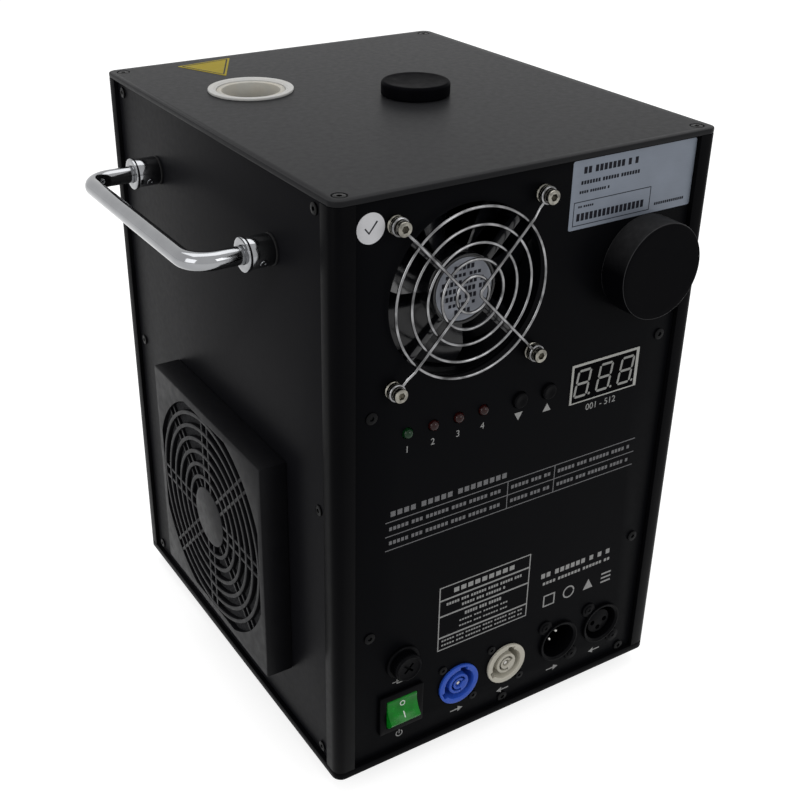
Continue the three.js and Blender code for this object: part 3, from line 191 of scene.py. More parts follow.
class Form:
    """A mesh being shaped in millimetres, on a piece's own axes."""

    def __init__(self) -> None:
        """Starts with nothing."""
        self.mesh = bmesh.new()

    def take(self, part: bmesh.types.BMesh, place: Matrix, coat: int, soft: float = 0.0, rounds: int = 2) -> "Form":
        """Adds a closed shell, with its faces out and its sharp rims softened.

        Args:
            part: the shell, which is freed.
            place: where it goes on the piece's axes.
            coat: the number of the finish that it takes.
            soft: how far its sharp edges are rounded.
            rounds: how many strips a rounded edge has.

        Returns:
            This form.
        """
        bmesh.ops.recalc_face_normals(part, faces=part.faces)
        if soft > 0:
            sharp = [edge for edge in part.edges if edge.is_manifold and edge.calc_face_angle(0) > SHARP]
            bmesh.ops.bevel(part, geom=sharp, offset=soft, segments=rounds, profile=0.5, affect="EDGES",
                            clamp_overlap=True, material=-1)
        for face in part.faces:
            face.material_index = coat
        part.transform(place)
        if place.determinant() < 0:
            bmesh.ops.reverse_faces(part, faces=part.faces)
        spare = bpy.data.meshes.new("spare")
        part.to_mesh(spare)
        part.free()
        self.mesh.from_mesh(spare)
        bpy.data.meshes.remove(spare)
        return self

    def turned(self, profile: Profile, place: Matrix = STILL, count: int = 72, coat: int = 0, soft: float = 0.0,
               rounds: int = 2) -> "Form":
        """Adds a profile of radius and height turned about Z.

        Args:
            profile: its points; it starts and ends on the axis, or comes back to its start.
            place: where it goes.
            count: how many facets go round it.
            coat: the number of its finish.
            soft: how far its sharp edges are rounded.
            rounds: how many strips a rounded edge has.

        Returns:
            This form.
        """
        part = bmesh.new()
        points = [part.verts.new((radius, 0, height)) for radius, height in profile]
        edges = [part.edges.new(pair) for pair in zip(points, points[1:])]
        bmesh.ops.spin(part, geom=points + edges, axis=(0, 0, 1), cent=(0, 0, 0), angle=math.tau, steps=count,
                       use_merge=True)
        bmesh.ops.remove_doubles(part, verts=part.verts, dist=WELD)
        return self.take(part, place, coat, soft, rounds)

    def drum(self, radius: float, low: float, high: float, place: Matrix = STILL, count: int = 72, coat: int = 0,
             soft: float = 0.0) -> "Form":
        """Adds a cylinder between two heights."""
        return self.turned([(0, low), (radius, low), (radius, high), (0, high)], place, count, coat, soft)

    def tube(self, outer: float, inner: float, low: float, high: float, place: Matrix = STILL, count: int = 72,
             coat: int = 0, soft: float = 0.0) -> "Form":
        """Adds a round tube between two heights."""
        profile = [(inner, low), (outer, low), (outer, high), (inner, high), (inner, low)]
        return self.turned(profile, place, count, coat, soft)

    def hoop(self, radius: float, wire: float, place: Matrix = STILL, count: int = 96, strands: int = 14,
             coat: int = 0) -> "Form":
        """Adds a ring of round wire, in the plane of X and Y."""
        return self.turned(arc((radius, 0), wire / 2, 0, 360, strands), place, count, coat)

    def outline(self, points: Sequence[Point], low: float, high: float, place: Matrix = STILL, coat: int = 0,
                soft: float = 0.0, corners: dict[int, float] | None = None) -> "Form":
        """Adds a flat outline given thickness.

        Args:
            points: its corners, in order.
            low: the height of its underside.
            high: the height of its upper side.
            place: where it goes.
            coat: the number of its finish.
            soft: how far its sharp edges are rounded.
            corners: a radius for some of the corners, by their number.

        Returns:
            This form.
        """
        part = bmesh.new()
        around = [part.verts.new((x, y, low)) for x, y in points]
        part.faces.new(around)
        for number, radius in (corners or {}).items():
            bmesh.ops.bevel(part, geom=[around[number]], offset=radius, segments=8, profile=0.5, affect="VERTICES",
                            material=-1)
        raised = bmesh.ops.extrude_face_region(part, geom=part.faces[:])
        bmesh.ops.translate(part, vec=(0, 0, high - low), verts=only(raised["geom"], bmesh.types.BMVert))
        return self.take(part, place, coat, soft)

    def plate(self, width: float, height: float, low: float, high: float, place: Matrix = STILL, corner: float = 0.0,
              coat: int = 0, soft: float = 0.0) -> "Form":
        """Adds a rectangle given thickness, centred on the axis.

        Args:
            width: its size along X.
            height: its size along Y.
            low: the height of its underside.
            high: the height of its upper side.
            place: where it goes.
            corner: the radius of its four corners.
            coat: the number of its finish.
            soft: how far its sharp edges are rounded.

        Returns:
            This form.
        """
        x, y = width / 2, height / 2
        corners = dict.fromkeys(range(4), corner) if corner > 0 else None
        return self.outline([(-x, -y), (x, -y), (x, y), (-x, y)], low, high, place, coat, soft, corners)

    def rod(self, corners: Sequence[Sequence[float]], radius: float, bends: Sequence[float], place: Matrix = STILL,
            count: int = 24, steps: int = 10, coat: int = 0) -> "Form":
        """Adds a round rod bent at the inner corners of its route.

        Args:
            corners: the ends and corners of its centre line.
            radius: the rod's own radius.
            bends: the radius of each bend of the centre line.
            place: where it goes.
            count: how many facets go round it.
            steps: how many strips a bend has.
            coat: the number of its finish.

        Returns:
            This form.
        """
        route = [Vector(corner) for corner in corners]
        part = bmesh.new()
        heading = (route[1] - route[0]).normalized()
        start = Matrix.Translation(route[0]) @ heading.to_track_quat("Z", "Y").to_matrix().to_4x4()
        bmesh.ops.create_circle(part, cap_ends=False, radius=radius, segments=count, matrix=start)
        rim = part.edges[:]
        reached = route[0]
        for number, corner in enumerate(route[1:]):
            last = number == len(route) - 2
            onward = heading if last else (route[number + 2] - corner).normalized()
            angle = heading.angle(onward)
            setback = 0 if last else bends[number] * math.tan(angle / 2)
            goal = corner - heading * setback
            grown = bmesh.ops.extrude_edge_only(part, edges=rim)["geom"]
            bmesh.ops.translate(part, vec=goal - reached, verts=only(grown, bmesh.types.BMVert))
            rim = only(grown, bmesh.types.BMEdge)
            reached = goal
            if not last:
                axis = heading.cross(onward).normalized()
                centre = goal + axis.cross(heading) * bends[number]
                ends = [vertex for edge in rim for vertex in edge.verts]
                swept = bmesh.ops.spin(part, geom=list(set(ends)) + rim, cent=centre, axis=axis, angle=angle,
                                       steps=steps)["geom_last"]
                rim = only(swept, bmesh.types.BMEdge)
                reached = corner + onward * setback
                heading = onward
        bmesh.ops.holes_fill(part, edges=part.edges, sides=count)
        return self.take(part, place, coat)

    def sign(self, text: str, height: float, rise: float, place: Matrix = STILL, coat: int = 0) -> "Form":
        """Adds plain raised figures, centred on the axis.

        Args:
            text: the figures.
            height: how tall they are.
            rise: how thick they are.
            place: where they go.
            coat: the number of their finish.

        Returns:
            This form.
        """
        curve = bpy.data.curves.new("sign", "FONT")
        curve.body = text
        curve.size = height / FONT_TALL
        curve.extrude = rise / 2
        curve.align_x = "CENTER"
        curve.align_y = "CENTER"
        writing = stand("sign", curve)
        drawn = finished(writing)
        part = bmesh.new()
        part.from_mesh(drawn)
        bpy.data.objects.remove(writing)
        bpy.data.curves.remove(curve)
        bpy.data.meshes.remove(drawn)
        bmesh.ops.remove_doubles(part, verts=part.verts, dist=WELD)
        return self.take(part, place @ shift(0, 0, rise / 2), coat)

    def add(self, other: "Form", place: Matrix = STILL) -> "Form":
        """Adds a copy of another form.

        Args:
            other: that form, which stays as it is.
            place: where the copy goes.

        Returns:
            This form.
        """
        spare = bpy.data.meshes.new("spare")
        other.mesh.to_mesh(spare)
        spare.transform(place)
        if place.determinant() < 0:
            spare.flip_normals()
        self.mesh.from_mesh(spare)
        bpy.data.meshes.remove(spare)
        return self

    def cut(self, *tools: "Form") -> "Form":
        """Cuts other forms away from this one, one after the other, and frees them.

        Args:
            tools: what goes; the shells inside one of them stand clear of each other.

        Returns:
            This form.
        """
        for tool in tools:
            self.carve(tool)
        return self

    def carve(self, tool: "Form") -> None:
        """Cuts one form away from this one.

        Args:
            tool: what goes, which is freed.
        """
        pair = []
        for name, form in (("blank", self), ("cutter", tool)):
            mesh = bpy.data.meshes.new(name)
            form.mesh.to_mesh(mesh)
            form.mesh.free()
            pair.append(stand(name, mesh))
        blank, cutter = pair
        step = blank.modifiers.new("cut", "BOOLEAN")
        step.operation = "DIFFERENCE"
        step.solver = "EXACT"
        step.object = cutter
        carved = finished(blank)
        self.mesh = bmesh.new()
        self.mesh.from_mesh(carved)
        bpy.data.meshes.remove(carved)
        for thing in pair:
            mesh = thing.data
            bpy.data.objects.remove(thing)
            bpy.data.meshes.remove(mesh)

    def piece(self, name: str, place: Matrix, finishes: "Finish | Sequence[Finish]", nodes: Sequence[str] = (),
              body: Body = Body.MACHINE) -> bpy.types.Object:
        """Makes this form an object of the machine, with its place in its mesh.

        Args:
            name: the piece's name.
            place: the axes that it was shaped on, in the frame, in millimetres.
            finishes: its finish, or one for each coat number.
            nodes: the CAD nodes that it stands for.
            body: the body that it rides on.

        Returns:
            The finished object.
        """
        coats = [finishes] if isinstance(finishes, Finish) else list(finishes)
        mesh = bpy.data.meshes.new(name)
        self.mesh.to_mesh(mesh)
        self.mesh.free()
        mesh.transform(Matrix.Scale(MM, 4) @ place)
        for finish in coats:
            mesh.materials.append(material_of(finish))
        mesh.shade_smooth()
        mesh.set_sharp_from_angle(angle=SHARP)
        thing = stand(name, mesh)
        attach(thing, body.value)
        if nodes:
            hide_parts(*nodes)
        log.info("%s: %d faces, stands for %s", name, len(mesh.polygons), ", ".join(nodes) or "nothing")
        return thing


def wired(tree: bpy.types.NodeTree, kind: str, feeds: dict[str | int, Feed], give: str | int = 0,
          **settings: str) -> Socket:
    """Adds a shader node and feeds it.

    Args:
        tree: where it goes.
        kind: its type, without the word ShaderNode.
        feeds: a socket or a value for each input that needs one.
        give: the output that is wanted.
        settings: choices on the node itself.

    Returns:
        That output.
    """
    node = tree.nodes.new(f"ShaderNode{kind}")
    for setting, choice in settings.items():
        setattr(node, setting, choice)
    for name, feed in feeds.items():
        if isinstance(feed, Socket):
            tree.links.new(feed, node.inputs[name])
        else:
            node.inputs[name].default_value = feed
    return node.outputs[give]


class Recipe:
    """The nodes of one finish's material, wired to its Principled shader."""

    def __init__(self, finish: "Finish", **sockets: float | tuple[float, ...]) -> None:
        """Starts a material.

        Args:
            finish: whose name, colour and roughness it takes.
            sockets: values for the shader's own sockets, with _ for the spaces in their names.
        """
        self.finish = finish
        self.material = bpy.data.materials.new(finish.name)
        self.material.use_nodes = True
        self.tree = self.material.node_tree
        self.shader = self.tree.nodes["Principled BSDF"]
        self.place = self.tree.nodes.new("ShaderNodeTexCoord").outputs
        for socket, value in sockets.items():
            self.shader.inputs[socket.replace("_", " ")].default_value = value

    def feed(self, source: Socket, name: str) -> None:
        """Feeds one of the shader's sockets."""
        self.tree.links.new(source, self.shader.inputs[name])

    def noise(self, size: float, detail: float = 3.0, stretch: tuple[float, float, float] | None = None) -> Socket:
        """Soft noise.

        Args:
            size: about how wide its blots are, in millimetres.
            detail: how much finer noise is laid over it.
            stretch: how many times finer it is along each axis.

        Returns:
            The socket that gives it.
        """
        space = self.place["Object"]
        if stretch:
            space = wired(self.tree, "Mapping", {"Vector": space, "Scale": stretch})
        return wired(self.tree, "TexNoise", {"Scale": 1 / (size * MM), "Detail": detail, "Vector": space})

    def grains(self, size: float) -> Socket:
        """Cells about a size across, in millimetres, from 0 in their middles."""
        return wired(self.tree, "TexVoronoi", {"Scale": 1 / (size * MM), "Vector": self.place["Object"]})

    def between(self, source: Socket, low: float, high: float, start: float = 0.3, end: float = 0.7) -> Socket:
        """A socket's range from start to end, spread from low to high."""
        ends = {"From Min": start, "From Max": end, "To Min": low, "To Max": high}
        return wired(self.tree, "MapRange", {"Value": source, **ends})

    def settled(self) -> Socket:
        """How much fine dust lies on the surface: the more it faces up, and unevenly."""
        up = self.between(wired(self.tree, "SeparateXYZ", {0: self.place["Normal"]}, "Z"), 0, 1, 0.1, 0.95)
        return wired(self.tree, "Math", {0: up, 1: self.between(self.noise(2.5, 5), 0.7, 1)}, operation="MULTIPLY")

    def tint(self, share: Socket, first: Colour, second: Colour) -> None:
        """Colours the surface between two colours, by a share."""
        # of a Mix node, sockets 6 and 7 are the two colours and output 2 is the mixed one
        self.feed(wired(self.tree, "Mix", {0: share, 6: (*first, 1), 7: (*second, 1)}, 2, data_type="RGBA"),
                  "Base Color")

    def mottle(self, source: Socket, dark: float, light: float) -> None:
        """Spreads the finish's own colour between two shares of it."""
        self.tint(self.between(source, 0, 1), shaded(self.finish.colour, dark), shaded(self.finish.colour, light))

    def gloss(self, source: Socket, less: float, more: float) -> None:
        """Spreads the finish's own roughness, down by less and up by more."""
        rough = self.finish.roughness
        self.feed(self.between(source, max(SMOOTHEST, rough - less), rough + more), "Roughness")

    def relief(self, *layers: tuple[Socket, float]) -> None:
        """Bumps the surface.

        Args:
            layers: heights, each with its depth in millimetres, the lowest first.
        """
        below: dict[str | int, Feed] = {}
        for height, depth in layers:
            below = {"Normal": wired(self.tree, "Bump", {"Distance": depth * MM, "Height": height, **below})}
        self.feed(below["Normal"], "Normal")


def shaded(colour: Colour, share: float) -> Colour:
    """A colour made lighter or darker by a share."""
    return tuple(min(1.0, part * share) for part in colour)


@dataclass(frozen=True)
class Finish:
    """What every finish has: a name, the record's slot, a colour and a roughness."""

    name: str
    slot: str
    colour: Colour
    roughness: float

    def recipe(self) -> Recipe:
        """The nodes of this finish."""
        raise NotImplementedError


@dataclass(frozen=True)
class PowderCoat(Finish):
    """Satin powder paint on sheet metal: a fine even grain and faint worn patches."""

    shine: float = 0.35
    grain: float = 0.5
    depth: float = 0.012
    uneven: float = 0.12

    def recipe(self) -> Recipe:
        """The nodes of this finish.

        Returns:
            The recipe.
        """
        recipe = Recipe(self, Specular_IOR_Level=self.shine)
        recipe.mottle(recipe.noise(45, 4), 1 - self.uneven, 1 + self.uneven)
        recipe.gloss(recipe.noise(3, 5), 0.03, 0.03)
        recipe.relief((recipe.noise(self.grain, 2), self.depth), (recipe.noise(4, 2), self.depth * 1.5))
        return recipe


@dataclass(frozen=True)
class Plastic(Finish):
    """Moulded plastic: a fine spark-eroded grain, slow shade changes and a little uneven gloss."""

    shine: float = 0.4
    grain: float = 0.35
    depth: float = 0.01
    uneven: float = 0.08
    dust: float = 0.0

    def recipe(self) -> Recipe:
        """The nodes of this finish.

        Returns:
            The recipe.
        """
        recipe = Recipe(self, Specular_IOR_Level=self.shine)
        if self.dust:
            recipe.tint(recipe.settled(), self.colour, (self.dust, self.dust, self.dust * 1.04))
        else:
            recipe.mottle(recipe.noise(16, 3), 1 - self.uneven, 1 + self.uneven)
        recipe.gloss(recipe.noise(5, 4), 0.05, 0.06)
        recipe.relief((recipe.noise(self.grain, 2), self.depth))
        return recipe


@dataclass(frozen=True)
class Screen(Finish):
    """A fine dust screen: dull threads round small holes, painted darker inside as their shade."""

    hole: float = 1.1

    def recipe(self) -> Recipe:
        """The nodes of this finish.

        Returns:
            The recipe.
        """
        recipe = Recipe(self, Specular_IOR_Level=0.05)
        holes = recipe.grains(self.hole)
        # Darker at each cell's middle: painted shade in the holes.
        recipe.tint(recipe.between(holes, 0, 1, 0.15, 0.6), shaded(self.colour, 0.45), shaded(self.colour, 1.3))
        recipe.gloss(recipe.noise(6, 4), 0.06, 0.06)
        recipe.relief((holes, 0.3), (recipe.noise(0.3, 2), 0.03))
        return recipe


@dataclass(frozen=True)
class ClearPlastic(Finish):
    """Tinted clear plastic: light passes into it, over a faintly cloudy body."""

    passing: float = 0.3
    shine: float = 0.5

    def recipe(self) -> Recipe:
        """The nodes of this finish.

        Returns:
            The recipe.
        """
        recipe = Recipe(self, Transmission_Weight=self.passing, IOR=1.49, Specular_IOR_Level=self.shine)
        recipe.mottle(recipe.noise(4, 3), 0.8, 1.25)
        recipe.gloss(recipe.noise(3, 3), 0, 0.08)
        recipe.relief((recipe.noise(1.6, 3), 0.02))
        return recipe


@dataclass(frozen=True)
class Chrome(Finish):
    """Chrome plate: mirror bright, with a faint ripple and blotches of darker colour: wiped smears, and on the guard
    wire and screws mostly painted reflections of dark surroundings.
    """

    ripple: float = 0.012
    smudge_and_reflection: float = 0.1
    patch: float = 12.0

    def recipe(self) -> Recipe:
        """The nodes of this finish.

        Returns:
            The recipe.
        """
        recipe = Recipe(self, Metallic=1.0)
        # The darker blotches are wiped smears; where they are strong, they are painted reflections of dark
        # surroundings.
        recipe.mottle(recipe.noise(self.patch, 4), 1 - self.smudge_and_reflection, 1 + self.smudge_and_reflection / 2)
        recipe.gloss(recipe.noise(5, 5), 0, 0.09)
        recipe.relief((recipe.noise(5, 2), self.ripple), (recipe.noise(0.5, 3, (1, 8, 8)), 0.0015))
        return recipe


@dataclass(frozen=True)
class BrushedMetal(Finish):
    """Bare metal with fine drawn scratches along one axis."""

    along: tuple[float, float, float] | None = (0.05, 1.0, 1.0)

    def recipe(self) -> Recipe:
        """The nodes of this finish.

        Returns:
            The recipe.
        """
        recipe = Recipe(self, Metallic=1.0)
        scratches = recipe.noise(0.35, 4, self.along)
        recipe.mottle(scratches, 0.82, 1.08)
        recipe.gloss(scratches, 0.08, 0.1)
        recipe.relief((scratches, 0.012))
        return recipe


@dataclass(frozen=True)
class Rubber(Finish):
    """Matt moulded rubber with a dusty bloom."""

    bloom: Colour = (0.09, 0.088, 0.085)

    def recipe(self) -> Recipe:
        """The nodes of this finish.

        Returns:
            The recipe.
        """
        recipe = Recipe(self, Specular_IOR_Level=0.3)
        recipe.tint(recipe.between(recipe.noise(7, 6), 0, 0.5, 0.45, 0.8), self.colour, self.bloom)
        recipe.gloss(recipe.noise(6, 4), 0.06, 0.08)
        recipe.relief((recipe.noise(0.5, 3), 0.03))
        return recipe


@dataclass(frozen=True)
class Ceramic(Finish):
    """Unglazed white ceramic with a chalky grain, small pores and warm heat stains."""

    stain: Colour = (0.62, 0.5, 0.33)
    stained: float = 0.25

    def recipe(self) -> Recipe:
        """The nodes of this finish.

        Returns:
            The recipe.
        """
        recipe = Recipe(self, Specular_IOR_Level=0.35)
        recipe.tint(recipe.between(recipe.noise(9, 6), 0, self.stained, 0.42, 0.75), self.colour, self.stain)
        recipe.gloss(recipe.noise(3, 4), 0.05, 0.1)
        recipe.relief((recipe.noise(0.6, 4), 0.05), (recipe.grains(1.1), 0.02))
        return recipe


@dataclass(frozen=True)
class Ink(Finish):
    """Screen printed ink: thin, a little uneven, with the panel's grain under it."""

    worn: Colour = (0.2, 0.2, 0.2)
    thin: float = 0.35
    shine: float = 0.3

    def recipe(self) -> Recipe:
        """The nodes of this finish.

        Returns:
            The recipe.
        """
        recipe = Recipe(self, Specular_IOR_Level=self.shine)
        recipe.tint(recipe.between(recipe.noise(1.2, 5), 0, self.thin, 0.45, 0.75), self.colour, self.worn)
        recipe.gloss(recipe.noise(2, 3), 0.05, 0.1)
        recipe.relief((recipe.noise(0.3, 2), 0.008))
        return recipe


@dataclass(frozen=True)
class Foil(Finish):
    """A silvery film label with a soft metallic sheen."""

    metallic: float = 0.45
    shine: float = 0.4

    def recipe(self) -> Recipe:
        """The nodes of this finish.

        Returns:
            The recipe.
        """
        recipe = Recipe(self, Metallic=self.metallic, Specular_IOR_Level=self.shine)
        recipe.mottle(recipe.noise(14, 4), 0.93, 1.06)
        recipe.gloss(recipe.noise(0.5, 3, (0.08, 1, 1)), 0.05, 0.08)
        recipe.relief((recipe.noise(18, 3), 0.05), (recipe.noise(0.4, 2), 0.004))
        return recipe


@dataclass(frozen=True)
class SolderMask(Finish):
    """A circuit board's lacquer over faint copper tracks."""

    track: Colour = (0.08, 0.24, 0.1)

    def recipe(self) -> Recipe:
        """The nodes of this finish.

        Returns:
            The recipe.
        """
        recipe = Recipe(self, Coat_Weight=0.4, Coat_Roughness=0.15)
        tracks = recipe.noise(2.4, 1, (0.25, 1, 1))
        recipe.tint(recipe.between(tracks, 0, 1, 0.49, 0.53), self.colour, self.track)
        recipe.gloss(recipe.noise(4, 3), 0.05, 0.08)
        recipe.relief((tracks, 0.04))
        return recipe


@lru_cache(maxsize=None)
def material_of(finish: Finish) -> bpy.types.Material:
    """The material of a finish, made once."""
    return finish.recipe().material


# One black powder coat in lit and shaded copies: the top is painted lighter for the light from above, the posts, base
# and front sheet darker as painted shade, and the side sheets sit between.
LIT_TOP_PAINT = PowderCoat("black_powder_painted_top_light", "top_paint", (0.0125, 0.0127, 0.0138), 0.4, shine=0.042, uneven=0.05)
SIDE_PAINT = PowderCoat("black_powder", "casing_paint", (0.0046, 0.0046, 0.0056), 0.4, shine=0.024, uneven=0.06)
SHADED_FRAME_PAINT = PowderCoat("frame_black_painted_shade", "casing_paint", (0.002, 0.002, 0.0025), 0.36, shine=0.02)
SHADED_PANEL_PAINT = PowderCoat("panel_black_painted_shade", "panel_paint", (0.0021, 0.0022, 0.0028), 0.4, shine=0.016, uneven=0.06)
SCREW_BLACK = Plastic("blackened_screw", "casing_paint", (0.0018, 0.0018, 0.0022), 0.3, shine=0.06, depth=0.006)
CHROME = Chrome("chrome_plate", "chrome", (0.28, 0.285, 0.295), 0.055)
# The guard wire and the screws are blotched dark and light as painted reflections of dark surroundings.
GUARD_CHROME = Chrome("guard_wire", "chrome", (0.23, 0.23, 0.235), 0.07, ripple=0.03, smudge_and_reflection=0.7, patch=7.0)
NICKEL = Chrome("nickel_screw", "chrome", (0.22, 0.212, 0.185), 0.16, ripple=0.02, smudge_and_reflection=0.6, patch=2.5)
STEEL = BrushedMetal("drawn_steel", "steel", (0.42, 0.42, 0.43), 0.34)
CONTACT = BrushedMetal("silvered_contact", "steel", (0.5, 0.49, 0.47), 0.24, along=None)
RUBBER = Rubber("foot_rubber", "rubber", (0.01, 0.01, 0.0105), 0.82, bloom=(0.035, 0.034, 0.033))
SHADOW_RING_BLACK = Rubber("base_ring_painted_shadow", "chrome", (0.004, 0.004, 0.0045), 0.7, bloom=(0.01, 0.01, 0.01))
CAP_PLASTIC = Plastic("cap_black", "black_plastic", (0.0015, 0.0015, 0.002), 0.42, shine=0.014, grain=0.6, depth=0.02,
                      dust=0.026)
# A lighter copy of the cap's plastic, for painted highlights along its rims.
RIM_HIGHLIGHT_PAINT = Plastic("cap_painted_rim_highlight", "black_plastic", (0.034, 0.034, 0.036), 0.4, shine=0.08)
FEED_PLASTIC = Plastic("feed_cap_black", "black_plastic", (0.002, 0.002, 0.0026), 0.46, shine=0.007)
FITTING_PLASTIC = Plastic("fitting_black", "black_plastic", (0.0016, 0.0016, 0.0021), 0.38, shine=0.03)
GRILLE_PLASTIC = Plastic("grille_black", "casing_paint", (0.005, 0.005, 0.006), 0.42, shine=0.07, depth=0.015)
FAN_PLASTIC = Plastic("fan_black", "fan_plastic", (0.0042, 0.0044, 0.0056), 0.16, shine=0.36, depth=0.006)
DUST_BLACK = Plastic("intake_black", "fan_plastic", (0.003, 0.003, 0.0036), 0.5, shine=0.08)
DUST_SCREEN = Screen("dust_screen", "rubber", (0.02, 0.0202, 0.0215), 0.85)
BLUE_PLASTIC = Plastic("connector_blue", "blue_plastic", (0.021, 0.077, 0.44), 0.42, shine=0.25)
GREY_PLASTIC = Plastic("connector_grey", "grey_plastic", (0.46, 0.438, 0.37), 0.45)
PALE_PLASTIC = Plastic("display_body", "display_window", (0.33, 0.33, 0.31), 0.42)
WINDOW = Plastic("display_face", "display_window", (0.0009, 0.0009, 0.0013), 0.14, shine=0.007, depth=0.002)
DIGIT = Plastic("display_digit", "display_window", (0.22, 0.22, 0.21), 0.38)
ROCKER_GREEN = ClearPlastic("rocker_green", "rocker_green", (0.001, 0.19, 0.011), 0.2, passing=0.2, shine=0.1)
GREEN_LENS = ClearPlastic("green_lens", "green_lens", (0.001, 0.03, 0.006), 0.07, shine=0.07)
RED_LENS = ClearPlastic("red_lens", "red_lens", (0.022, 0.002, 0.0016), 0.07, shine=0.07)
CERAMIC = Ceramic("white_ceramic", "ceramic", (0.43, 0.43, 0.42), 0.6, stained=0.08)
LINER = Ceramic("heated_ceramic", "ceramic", (0.4, 0.39, 0.355), 0.75, stained=0.2)
WHITE_INK = Ink("white_ink", "panel_paint", (0.27, 0.27, 0.265), 0.5, worn=(0.1, 0.1, 0.1))
FAINT_INK = Ink("faint_ink", "panel_paint", (0.12, 0.12, 0.125), 0.5, worn=(0.035, 0.035, 0.035))
DARK_INK = Ink("dark_ink", "chrome", (0.008, 0.008, 0.012), 0.45, worn=(0.02, 0.02, 0.025), shine=0.05)
MARK_WHITE = Ink("mark_white", "rocker_green", (0.62, 0.66, 0.62), 0.35, worn=(0.3, 0.45, 0.3), thin=0.2)
LABEL_FOIL = Foil("silver_label", "chrome", (0.156, 0.178, 0.216), 0.42, metallic=0.35)
PAPER = Foil("paper_sticker", "ceramic", (0.61, 0.61, 0.63), 0.6, metallic=0.0)
HUB_FOIL = Foil("fan_sticker", "chrome", (0.165, 0.175, 0.2), 0.34, metallic=0.4)
YELLOW_FILM = Foil("yellow_film", "top_paint", (0.25, 0.194, 0.004), 0.5, metallic=0.0, shine=0.08)
BOARD = SolderMask("board_green", "circuit_board", (0.02, 0.11, 0.045), 0.4)


@dataclass(frozen=True)
class SocketScrew:
    """A screw head with a hexagon socket, standing on height zero."""

    head: float
    height: float
    socket: float
    depth: float
    soft: float = 0.3

    def form(self) -> Form:
        """Makes the head and cuts its socket.

        Returns:
            Its form.
        """
        top = self.height
        key = Form().turned([(0, top - self.depth), (self.socket / 2, top - self.depth),
                             (self.socket / 2, top + PROUD), (0, top + PROUD)], count=6)
        return Form().drum(self.head / 2, 0, top, soft=self.soft, count=40).cut(key)


